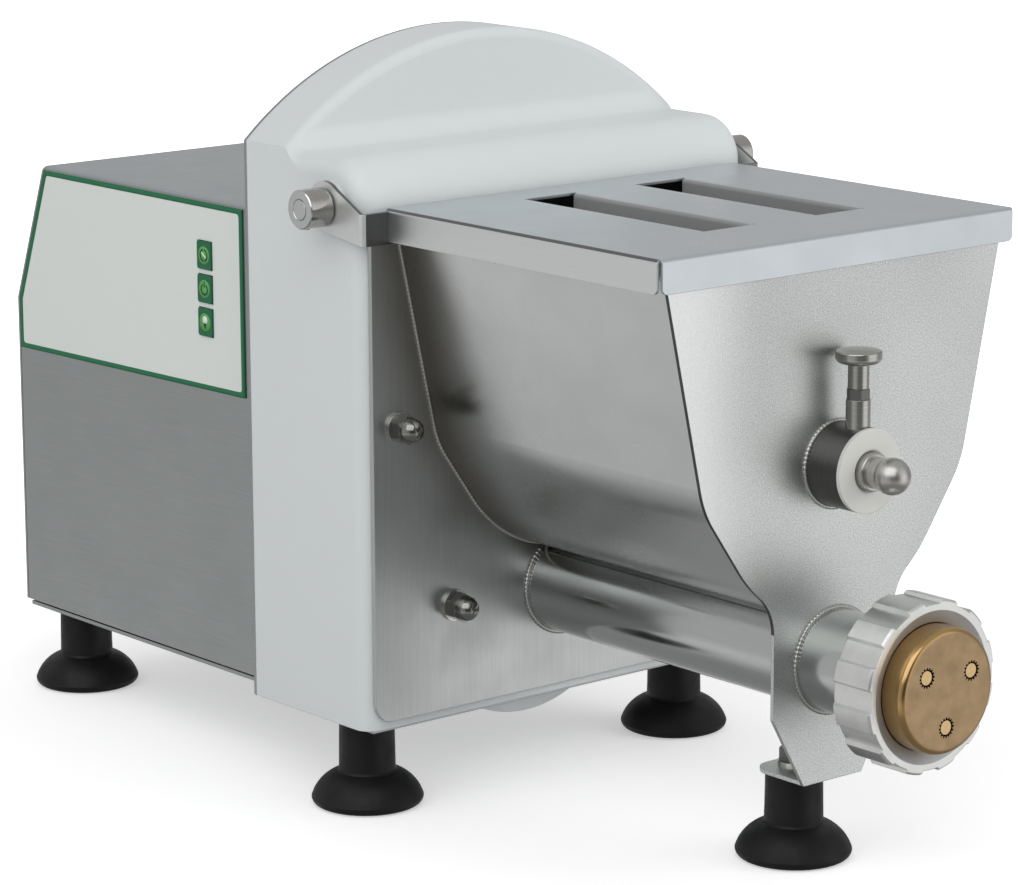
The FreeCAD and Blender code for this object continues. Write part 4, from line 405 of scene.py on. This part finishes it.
SLOT_REACH = 0.07          # the lid slots' turned-down sides lie within this from the middle
SLOT_DROP = 0.0003         # and this far below the lid's top
FLANGE_REACH = 0.1         # the lid's side flanges and their folds lie beyond this
TROUGH_LOW = 0.12          # the front plate is stem below this height
HEXAGON_HEIGHT = 0.005     # hexagon on top of the plunger's body
DISH_RADIUS = 0.0375       # the ring nut's dish lies within this
HOLES_RADIUS = 0.0275      # the die's holes lie within this, its rounded edge beyond
HOLES_DEPTH = 0.0022       # what lies this far behind the die's front is inside a hole


def in_lid_slot(centre, normal):
    return abs(normal.x) > 0.5 and abs(centre.x) < SLOT_REACH and centre.z < LID_TOP - SLOT_DROP


def on_left_flange(centre, normal):
    return normal.x < -0.7 and centre.x < -FLANGE_REACH


def on_left_fold(centre, normal):
    return -0.9 < normal.x < -0.25 and normal.z > 0.4 and centre.x < -FLANGE_REACH


def on_left_edge(centre, normal):
    """The cut edge of the front plate's left flank."""
    return abs(normal.y) < 0.3 and normal.x < -0.3 and centre.z > TROUGH_LOW


def on_hexagon(centre, normal):
    return abs(normal.z) < 0.1 and centre.z > PLUNGER_TOP - HEXAGON_HEIGHT


def in_dish(centre, normal):
    """The ring nut's cone round the die: it looks to the axis and not to the rear."""
    inward = -(normal.x * centre.x + normal.z * (centre.z - BARREL_Z))
    return from_barrel(centre) < DISH_RADIUS and normal.y < 0.3 and inward > 0.001


def on_die_round(centre, normal):
    return abs(normal.y) < 0.97 and from_barrel(centre) > HOLES_RADIUS


def in_die_hole(centre, normal):
    inside = abs(normal.y) < 0.7 or centre.y > DIE_FRONT + HOLES_DEPTH
    return inside and from_barrel(centre) < HOLES_RADIUS


def faces_up(centre, normal):
    return normal.z > 0.6


finish_pieces()
# Painted shade inside the lid's slots
paint_faces("lid_cover", "lid_slot_shade", in_lid_slot)
# Painted light on the lid's left flange
paint_faces("lid_cover", "lid_flange_lit_steel", on_left_flange)
# Painted shade on the fold of the lid's left flange
paint_faces("lid_cover", "lid_fold_shade_steel", on_left_fold)
paint_faces("lid_bracket", "bracket_shade", lambda centre, normal: normal.z > 0.3 or normal.y < -0.99)
# Painted shade on the hinge collars' round sides
paint_faces("hinge_collars", "collar_side_shade", lambda centre, normal: abs(normal.x) < 0.3)
paint_faces("front_plate", "edge_shade", on_left_edge)
# Painted shade: the hexagon on the plunger's body takes the darker hub steel
paint_faces("plunger_body", "hub_steel", on_hexagon)
# Painted light on the up-facing faces of the housing and the rear panel
paint_faces("motor_housing", "housing_top_lit_steel", faces_up)
paint_faces("rear_panel", "housing_top_lit_steel", faces_up)
# Painted shade in the ring nut's dish
paint_faces("ring_nut", "nut_dish_shade", in_dish)
paint_faces("die_body", "bronze_turned", on_die_round)
# Painted shade inside the die's holes
paint_faces("die_body", "bronze_hole_shade", in_die_hole)
# Painted shade on the die cores' sides, down in the holes
paint_faces("die_cores", "bronze_hole_shade", lambda centre, normal: abs(normal.y) < 0.5)


# Small pieces added to the look

def mesh_piece(name, build, material, body):
    """A new mesh that rides on a body. build fills a bmesh in the part's frame."""
    mesh = bpy.data.meshes.new(name)
    shape = bmesh.new()
    build(shape)
    bmesh.ops.recalc_face_normals(shape, faces=shape.faces)
    shape.to_mesh(mesh)
    shape.free()
    mesh.materials.append(MATERIALS[material])
    piece = bpy.data.objects.new(name, mesh)
    scene.collection.objects.link(piece)
    for face in mesh.polygons:
        face.use_smooth = True
    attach(piece, body)


def rounded(corner, into, out, radius, steps):
    """Points round a corner, from the directions into it and out of it."""
    reach = radius * math.tan(into.angle(out) / 2)
    start = corner - into * reach
    end = corner + out * reach
    shares = [step / steps for step in range(steps + 1)]
    return [start.lerp(corner, share).lerp(corner.lerp(end, share), share) for share in shares]


def around(centre, radius, start, end, count):
    """Flat points round a centre, with count steps from one angle to the other."""
    across, up = centre
    angles = [math.radians(start + (end - start) * index / count) for index in range(count + 1)]
    return [(across + radius * math.cos(angle), up + radius * math.sin(angle)) for angle in angles]


# Weld seams

BEAD_SIDES = 7          # corners of the bead's section
BEAD_STEPS = 5          # sections along one ripple
BEAD_RIPPLE = 0.0021    # length of one ripple
BEAD_LOW = 0.78         # bead between two ripples, as a share of its radius
BEAD_SWELL = 0.3        # how much a ripple adds
BEAD_RISE = 0.75        # height of the bead as a share of its width


def resample(points, step, closed):
    """Even points along a polyline."""
    chain = [Vector(point) for point in points]
    if closed:
        chain.append(chain[0])
    out = [chain[0]]
    left = step
    for start, end in zip(chain, chain[1:]):
        length = (end - start).length
        run = left
        while run <= length:
            out.append(start.lerp(end, run / length))
            run += step
        left = run - length
    return out


def weld_bead(name, points, radius, closed=False, up=(0, 1, 0)):
    """A small rounded bead with an even ripple along it."""
    spots = resample(points, BEAD_RIPPLE / BEAD_STEPS, closed)
    count = len(spots)

    def section(shape, index):
        """The bead's corners at one spot."""
        ahead = spots[(index + 1) % count] if closed else spots[min(index + 1, count - 1)]
        behind = spots[index - 1] if closed or index else spots[0]
        along = (ahead - behind).normalized()
        across = along.cross(Vector(up)).normalized()
        rise = across.cross(along).normalized()
        wave = radius * (BEAD_LOW + BEAD_SWELL * abs(math.sin(math.pi * index / BEAD_STEPS)))
        ring = []
        for side in range(BEAD_SIDES):
            angle = 2 * math.pi * side / BEAD_SIDES
            corner = across * (wave * math.cos(angle)) + rise * (wave * BEAD_RISE * math.sin(angle))
            ring.append(shape.verts.new(spots[index] + corner))
        return ring

    def build(shape):
        rings = [section(shape, index) for index in range(count)]
        pairs = list(zip(rings, rings[1:]))
        if closed:
            pairs.append((rings[-1], rings[0]))
        for first, second in pairs:
            for side in range(BEAD_SIDES):
                other = (side + 1) % BEAD_SIDES
                shape.faces.new((first[side], first[other], second[other], second[side]))
        if not closed:
            shape.faces.new(rings[0])
            shape.faces.new(list(reversed(rings[-1])))

    mesh_piece(name, build, "weld", "machine")


def ring_weld(name, y, z, radius, bead, start=0, end=360):
    """A weld round an axis along Y, from one angle to another, counted from +X towards +Z."""
    spots = [(x, y, height) for x, height in around((0, z), radius, start, end, 96)]
    closed = end - start == 360
    if closed:
        spots.pop()
    weld_bead(name, spots, bead, closed)


# The tub's section: a round trough, leaning flanks, a bend and leaning upper sides
TROUGH_RADIUS = 0.075
PLATE_OVERHANG = 0.0015    # the front plate stands out past the tub by this
WAIST_HALF = 0.0862        # half width at the mixing shaft, over the front plate
BEND_RADIUS = 0.05
FLANK_LEAN = 0.7           # widening per unit of height
SIDE_LEAN = 0.22
TUB_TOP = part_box("tub")[1].z
TUB_WELD_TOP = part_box("lid_bracket")[0].z - 0.001
TUB_WELD_LOW = 0.1253      # the tub meets the barrel here


def tub_left_side(y):
    """The tub's left outline at one y, from its top down to the middle of the trough."""
    radius = TROUGH_RADIUS - PLATE_OVERHANG
    waist = WAIST_HALF - PLATE_OVERHANG * math.hypot(1, SIDE_LEAN)
    unit = math.hypot(1, FLANK_LEAN)
    touch = Vector((-radius / unit, MIXER_Z - radius * FLANK_LEAN / unit))
    bend_rise = (waist + touch.x + FLANK_LEAN * (touch.y - MIXER_Z)) / (FLANK_LEAN - SIDE_LEAN)
    bend = Vector((-waist - SIDE_LEAN * bend_rise, MIXER_Z + bend_rise))
    top_rise = TUB_TOP - MIXER_Z
    top = Vector((-waist - SIDE_LEAN * top_rise, MIXER_Z + top_rise))
    turn = rounded(bend, (bend - top).normalized(), (touch - bend).normalized(),
                   BEND_RADIUS - PLATE_OVERHANG, 8)
    start = math.degrees(math.atan2(touch.y - MIXER_Z, touch.x)) % 360
    trough = around((0, MIXER_Z), radius, start, 270, 40)
    return [(x, y, z) for x, z in [top, *turn, *trough]]


def tub_rear_weld():
    """The left weld from the tub to the mounting plate: below the lid's arm, above the barrel."""
    spots = [spot for spot in tub_left_side(MOUNT - 0.0004) if spot[2] > TUB_WELD_LOW]
    top, below = Vector(spots[0]), Vector(spots[1])
    spots[0] = tuple(below.lerp(top, (TUB_WELD_TOP - below.z) / (top.z - below.z)))
    return spots


SEAM_X, SEAM_Z = 0.0163, 0.1262    # where the tub's lower edge lies on the barrel
SEAM_START = FRONT + 0.004
SEAM_END = SEAM_START + 0.19

for tag, side in (("left", -1), ("right", 1)):
    tub_line = [(-side * x, y, z) for x, y, z in tub_rear_weld()]
    barrel_line = [(side * SEAM_X, y, SEAM_Z) for y in (SEAM_START, SEAM_END)]
    weld_bead("weld_tub_rear_" + tag, tub_line, 0.0011)
    weld_bead("weld_barrel_" + tag, barrel_line, 0.0007, up=(0, 0, 1))

ring_weld("weld_barrel_rear", MOUNT - 0.0006, BARREL_Z, BARREL_RADIUS + 0.0006, bead=0.0013,
          start=128, end=412)
ring_weld("weld_barrel_front", FRONT - 0.0004, BARREL_Z, BARREL_RADIUS + 0.0005, bead=0.0013)
ring_weld("weld_hub", FRONT - 0.0003, MIXER_Z, HUB_RADIUS + 0.0005, bead=0.0012)


# Green border of the control label

# It lies where the photo has it, which is a little off the CAD label's own edges
BORDER_WIDTH = 0.0027
BORDER_THICKNESS = 0.0005
BORDER_LIFT = 0.00012          # ahead of the label's face
BORDER_AHEAD = 0.0003          # past the label's front edge
BORDER_ABOVE = 0.0025          # past its top edge
BORDER_FRONT_CORNER = 0.0027   # lower front corner above the label's lowest point
BORDER_REAR_CORNER = -0.0006   # lower rear corner, from the same point
INNER_ROUND = 0.0022
OUTER_ROUND = 0.0002
SLOPE_RUN, SLOPE_RISE = 0.0288, 0.0755    # the housing's rear slope above its knee


def inset_outline(points, inset, radius):
    """A closed outline from (y, z) points, moved inwards, with rounded corners."""
    outline = []
    for before, here, after in zip(points[-1:] + points, points, points[1:] + points[:1]):
        into = (here - before).normalized()
        out = (after - here).normalized()
        inward = Vector((-into.y, into.x))
        halfway = (inward + Vector((-out.y, out.x))).normalized()
        corner = here + halfway * (inset / halfway.dot(inward))
        outline.extend(rounded(corner, into, out, radius, 6))
    return outline


def border_strip(outer, inner, x):
    """A flat strip between two outlines, facing -X, with its sides and no back."""
    def build(shape):
        rows = [[shape.verts.new((x + depth, y, z)) for y, z in outline]
                for depth in (0, BORDER_THICKNESS) for outline in (outer, inner)]
        front_outer, front_inner, back_outer, back_inner = rows
        for index in range(len(outer)):
            other = (index + 1) % len(outer)
            for first, second in ((front_outer, front_inner), (front_outer, back_outer),
                                  (front_inner, back_inner)):
                shape.faces.new((first[index], first[other], second[other], second[index]))
    return build


def label_border():
    low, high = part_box("control_label")
    front, rear = low.y - BORDER_AHEAD, high.y
    top = high.z + BORDER_ABOVE
    knee = HOUSING_TOP - SLOPE_RISE
    points = [(front, low.z + BORDER_FRONT_CORNER), (rear, low.z + BORDER_REAR_CORNER), (rear, knee),
              (rear - SLOPE_RUN / SLOPE_RISE * (top - knee), top), (front, top)]
    corners = [Vector(point) for point in points]
    outer = inset_outline(corners, 0, OUTER_ROUND)
    inner = inset_outline(corners, BORDER_WIDTH, INNER_ROUND)
    strip = border_strip(outer, inner, low.x - BORDER_LIFT)
    mesh_piece("label_border", strip, "border_green", "machine")


label_border()


# Marks on the keys: a pale disc and a plain symbol each, in metres from the key's middle

DISC_LIFT = 0.00012     # ahead of the key's face
MARK_LIFT = 0.00020
MARK_THICKNESS = 0.00025


def plate(points, x):
    """A thin flat plate facing -X from (y, z) points."""
    def build(shape):
        face = [shape.verts.new((x, y, z)) for y, z in points]
        back = [shape.verts.new((x + MARK_THICKNESS, y, z)) for y, z in points]
        shape.faces.new(face)
        for index in range(len(points)):
            other = (index + 1) % len(points)
            shape.faces.new((face[index], face[other], back[other], back[index]))
    return build


def disc(radius, up=0.0):
    """A full circle; up is how far a shape's middle lies above the key's."""
    return around((0, up), radius, 0, 360, 40)[:-1]


def arc_band(radius, width, start, end, up=0.0):
    outer = around((0, up), radius, start, end, 24)
    inner = around((0, up), radius - width, start, end, 24)
    return outer + list(reversed(inner))


def bar(length, width, turn=0, up=0.0):
    along = Vector((math.cos(math.radians(turn)), math.sin(math.radians(turn))))
    across = Vector((-along.y, along.x))
    corners = ((-1, -1), (1, -1), (1, 1), (-1, 1))
    return [Vector((0, up)) + along * (length / 2 * a) + across * (width / 2 * b) for a, b in corners]


KEY_MARKS = {
    "stop_button": [
        (arc_band(0.0034, 0.0009, 100, 260), "key_dark"),
        (arc_band(0.0034, 0.0009, -80, 80), "key_dark"),
        (bar(0.0062, 0.0008, turn=35), "key_white"),
    ],
    "start_button": [
        (arc_band(0.0032, 0.0009, 120, 420, up=-0.0003), "key_dark"),
        (bar(0.0032, 0.0009, turn=90, up=0.0022), "key_dark"),
    ],
    "light_button": [
        (disc(0.0021, up=0.0012), "key_white"),
        (bar(0.0019, 0.0016, up=-0.0013), "key_dark"),
        (bar(0.0013, 0.0008, up=-0.0028), "key_dark"),
    ],
}


def key_mark(key, ending, points, material, lift):
    """A plate on a key's face, which moves with the key."""
    centre = middle(key)
    placed = [(centre.y + across, centre.z + up) for across, up in points]
    mesh_piece(key + ending, plate(placed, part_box(key)[0].x - lift), material, key)


for key, marks in KEY_MARKS.items():
    key_mark(key, "_disc", disc(0.0047), "key_light", DISC_LIFT)
    for index, (points, material) in enumerate(marks, start=1):
        key_mark(key, "_mark" + str(index), points, material, MARK_LIFT)


# Camera at the photo's place

PHOTO_WIDTH = 1021           # pixels
FOCAL_LENGTH = 4001.78       # pixels
SENSOR_WIDTH = 36            # millimetres
CAMERA_PLACE = Vector((-1.28517, FRONT - 1.30810, 0.60890))
CAMERA_TURN = -39.72         # degrees
CAMERA_LIFT = 12.35
CAMERA_ROLL = -0.28


def photo_camera():
    turn, lift, roll = [math.radians(angle) for angle in (CAMERA_TURN, CAMERA_LIFT, CAMERA_ROLL)]
    back = Vector((math.sin(turn) * math.cos(lift), -math.cos(turn) * math.cos(lift), math.sin(lift)))
    right = Vector((math.cos(turn), math.sin(turn), 0))
    down = (-back).cross(right)
    rolled_right = right * math.cos(roll) - down * math.sin(roll)
    rolled_down = right * math.sin(roll) + down * math.cos(roll)
    camera = bpy.data.cameras.new("camera")
    camera.sensor_width = SENSOR_WIDTH
    camera.lens = FOCAL_LENGTH / PHOTO_WIDTH * SENSOR_WIDTH
    camera.clip_end = 50
    holder = bpy.data.objects.new("camera", camera)
    scene.collection.objects.link(holder)
    axes = Matrix((rolled_right, -rolled_down, back)).transposed()
    holder.matrix_world = Matrix.Translation(CAMERA_PLACE) @ axes.to_4x4()
    scene.camera = holder


photo_camera()


# Studio: pale floor, white surround for the camera, graded light for reflections

# Each list holds (place, brightness) pairs. HORIZON runs once round the machine: 0 and 1 lie behind it,
# 0.5 in front. HEIGHT and HEIGHT_SHARE run from straight down to straight up; HEIGHT_SHARE says how far
# HEIGHT takes the place of HORIZON. FLOOR_GLOW runs outwards over the floor.
HORIZON = [(0.0, 0.5), (0.1, 0.56), (0.2, 0.58), (0.32, 0.42), (0.37, 0.12), (0.46, 0.1), (0.5, 0.3),
           (0.53, 1.08), (0.63, 1.08), (0.67, 0.4), (0.75, 0.38), (0.85, 0.52), (1.0, 0.5)]
HEIGHT = [(0.0, 0.25), (0.2, 0.3), (0.34, 1.0), (0.4, 0.9), (0.5, 0.45), (0.65, 0.55), (1.0, 0.55)]
HEIGHT_SHARE = [(0.0, 1.0), (0.16, 1.0), (0.36, 0.28), (0.42, 0.0), (0.5, 0.0), (0.66, 0.1), (0.86, 1.0),
                (1.0, 1.0)]
FLOOR_GLOW = [(0.0, 0.42), (0.17, 0.45), (0.4, 1.0), (1.0, 1.0)]
GLOW_REACH = 2            # metres from the machine where FLOOR_GLOW ends
FLOOR_DROP = 0.0003       # the floor lies this far below the feet


def area(name, place, target, size, power):
    light = bpy.data.lights.new(name, "AREA")
    light.shape = "RECTANGLE"
    light.size, light.size_y = size
    light.energy = power
    holder = bpy.data.objects.new(name, light)
    scene.collection.objects.link(holder)
    holder.location = place
    holder.rotation_mode = "QUATERNION"
    holder.rotation_quaternion = (Vector(target) - Vector(place)).to_track_quat("-Z", "Y")
    return holder


def room_light():
    """White for the camera; for light and reflections a room with bright and dark walls."""
    world = bpy.data.worlds.new("studio")
    scene.world = world
    world.use_nodes = True
    world.node_tree.nodes.clear()
    room = Graph(world.node_tree)
    direction = room.add("ShaderNodeTexCoord").outputs["Generated"]
    ahead = room.compute("MULTIPLY", room.along(direction, "Y"), -1)
    bearing = room.compute("ARCTAN2", room.along(direction, "X"), ahead)
    horizon = room.ramp(room.ranged(bearing, -math.pi, math.pi), HORIZON)
    height = room.ranged(room.along(direction, "Z"), -1, 1)
    light = room.mix("MIX", room.ramp(height, HEIGHT_SHARE), horizon, room.ramp(height, HEIGHT))
    lit = room.add("ShaderNodeBackground", Color=light).outputs[0]
    white = room.add("ShaderNodeBackground", Color=(1, 1, 1, 1)).outputs[0]
    room.add("ShaderNodeOutputWorld", Surface=room.choose(room.seen_by_camera(), lit, white))


def pale_floor():
    """A pale floor that turns plain white away from the machine and stays out of reflections."""
    mesh = bpy.data.meshes.new("floor")
    shape = bmesh.new()
    bmesh.ops.create_grid(shape, x_segments=1, y_segments=1, size=40)
    shape.to_mesh(mesh)
    shape.free()
    floor = bpy.data.objects.new("floor", mesh)
    floor.location = (0, 0, -FLOOR_DROP)
    scene.collection.objects.link(floor)
    finish = Surface("floor", (0.86, 0.86, 0.86, 1), 0.7)
    distance = finish.tree.nodes.new("ShaderNodeVectorMath")
    distance.operation = "LENGTH"
    finish.feed(finish.coordinates, distance.inputs[0])
    glow = finish.ramp(finish.ranged(distance.outputs["Value"], 0, GLOW_REACH), FLOOR_GLOW)
    glowing = finish.tree.nodes.new("ShaderNodeAddShader")
    finish.feed(finish.shader.outputs[0], glowing.inputs[0])
    finish.feed(finish.add("ShaderNodeEmission", Strength=glow).outputs[0], glowing.inputs[1])
    plain = finish.add("ShaderNodeBsdfDiffuse", Color=(0.8, 0.8, 0.8, 1)).outputs[0]
    shown = finish.choose(finish.seen_by_camera(), plain, glowing.outputs[0])
    finish.feed(shown, finish.tree.nodes["Material Output"].inputs["Surface"])
    mesh.materials.append(finish.material)
    floor.visible_glossy = False


def studio():
    room_light()
    pale_floor()
    area("key", place=(-1.9, -1.1, 2.1), target=(0, 0, 0.15), size=(3.8, 2.8), power=39)
    fill = area("fill", place=(1.6, -1.9, 1.2), target=(0, -0.1, 0.2), size=(1.8, 1.8), power=17)
    fill.visible_glossy = False


studio()
scene.view_settings.view_transform = "Standard"
scene.view_settings.look = "None"
scene.view_settings.exposure = 0
scene.view_settings.gamma = 1
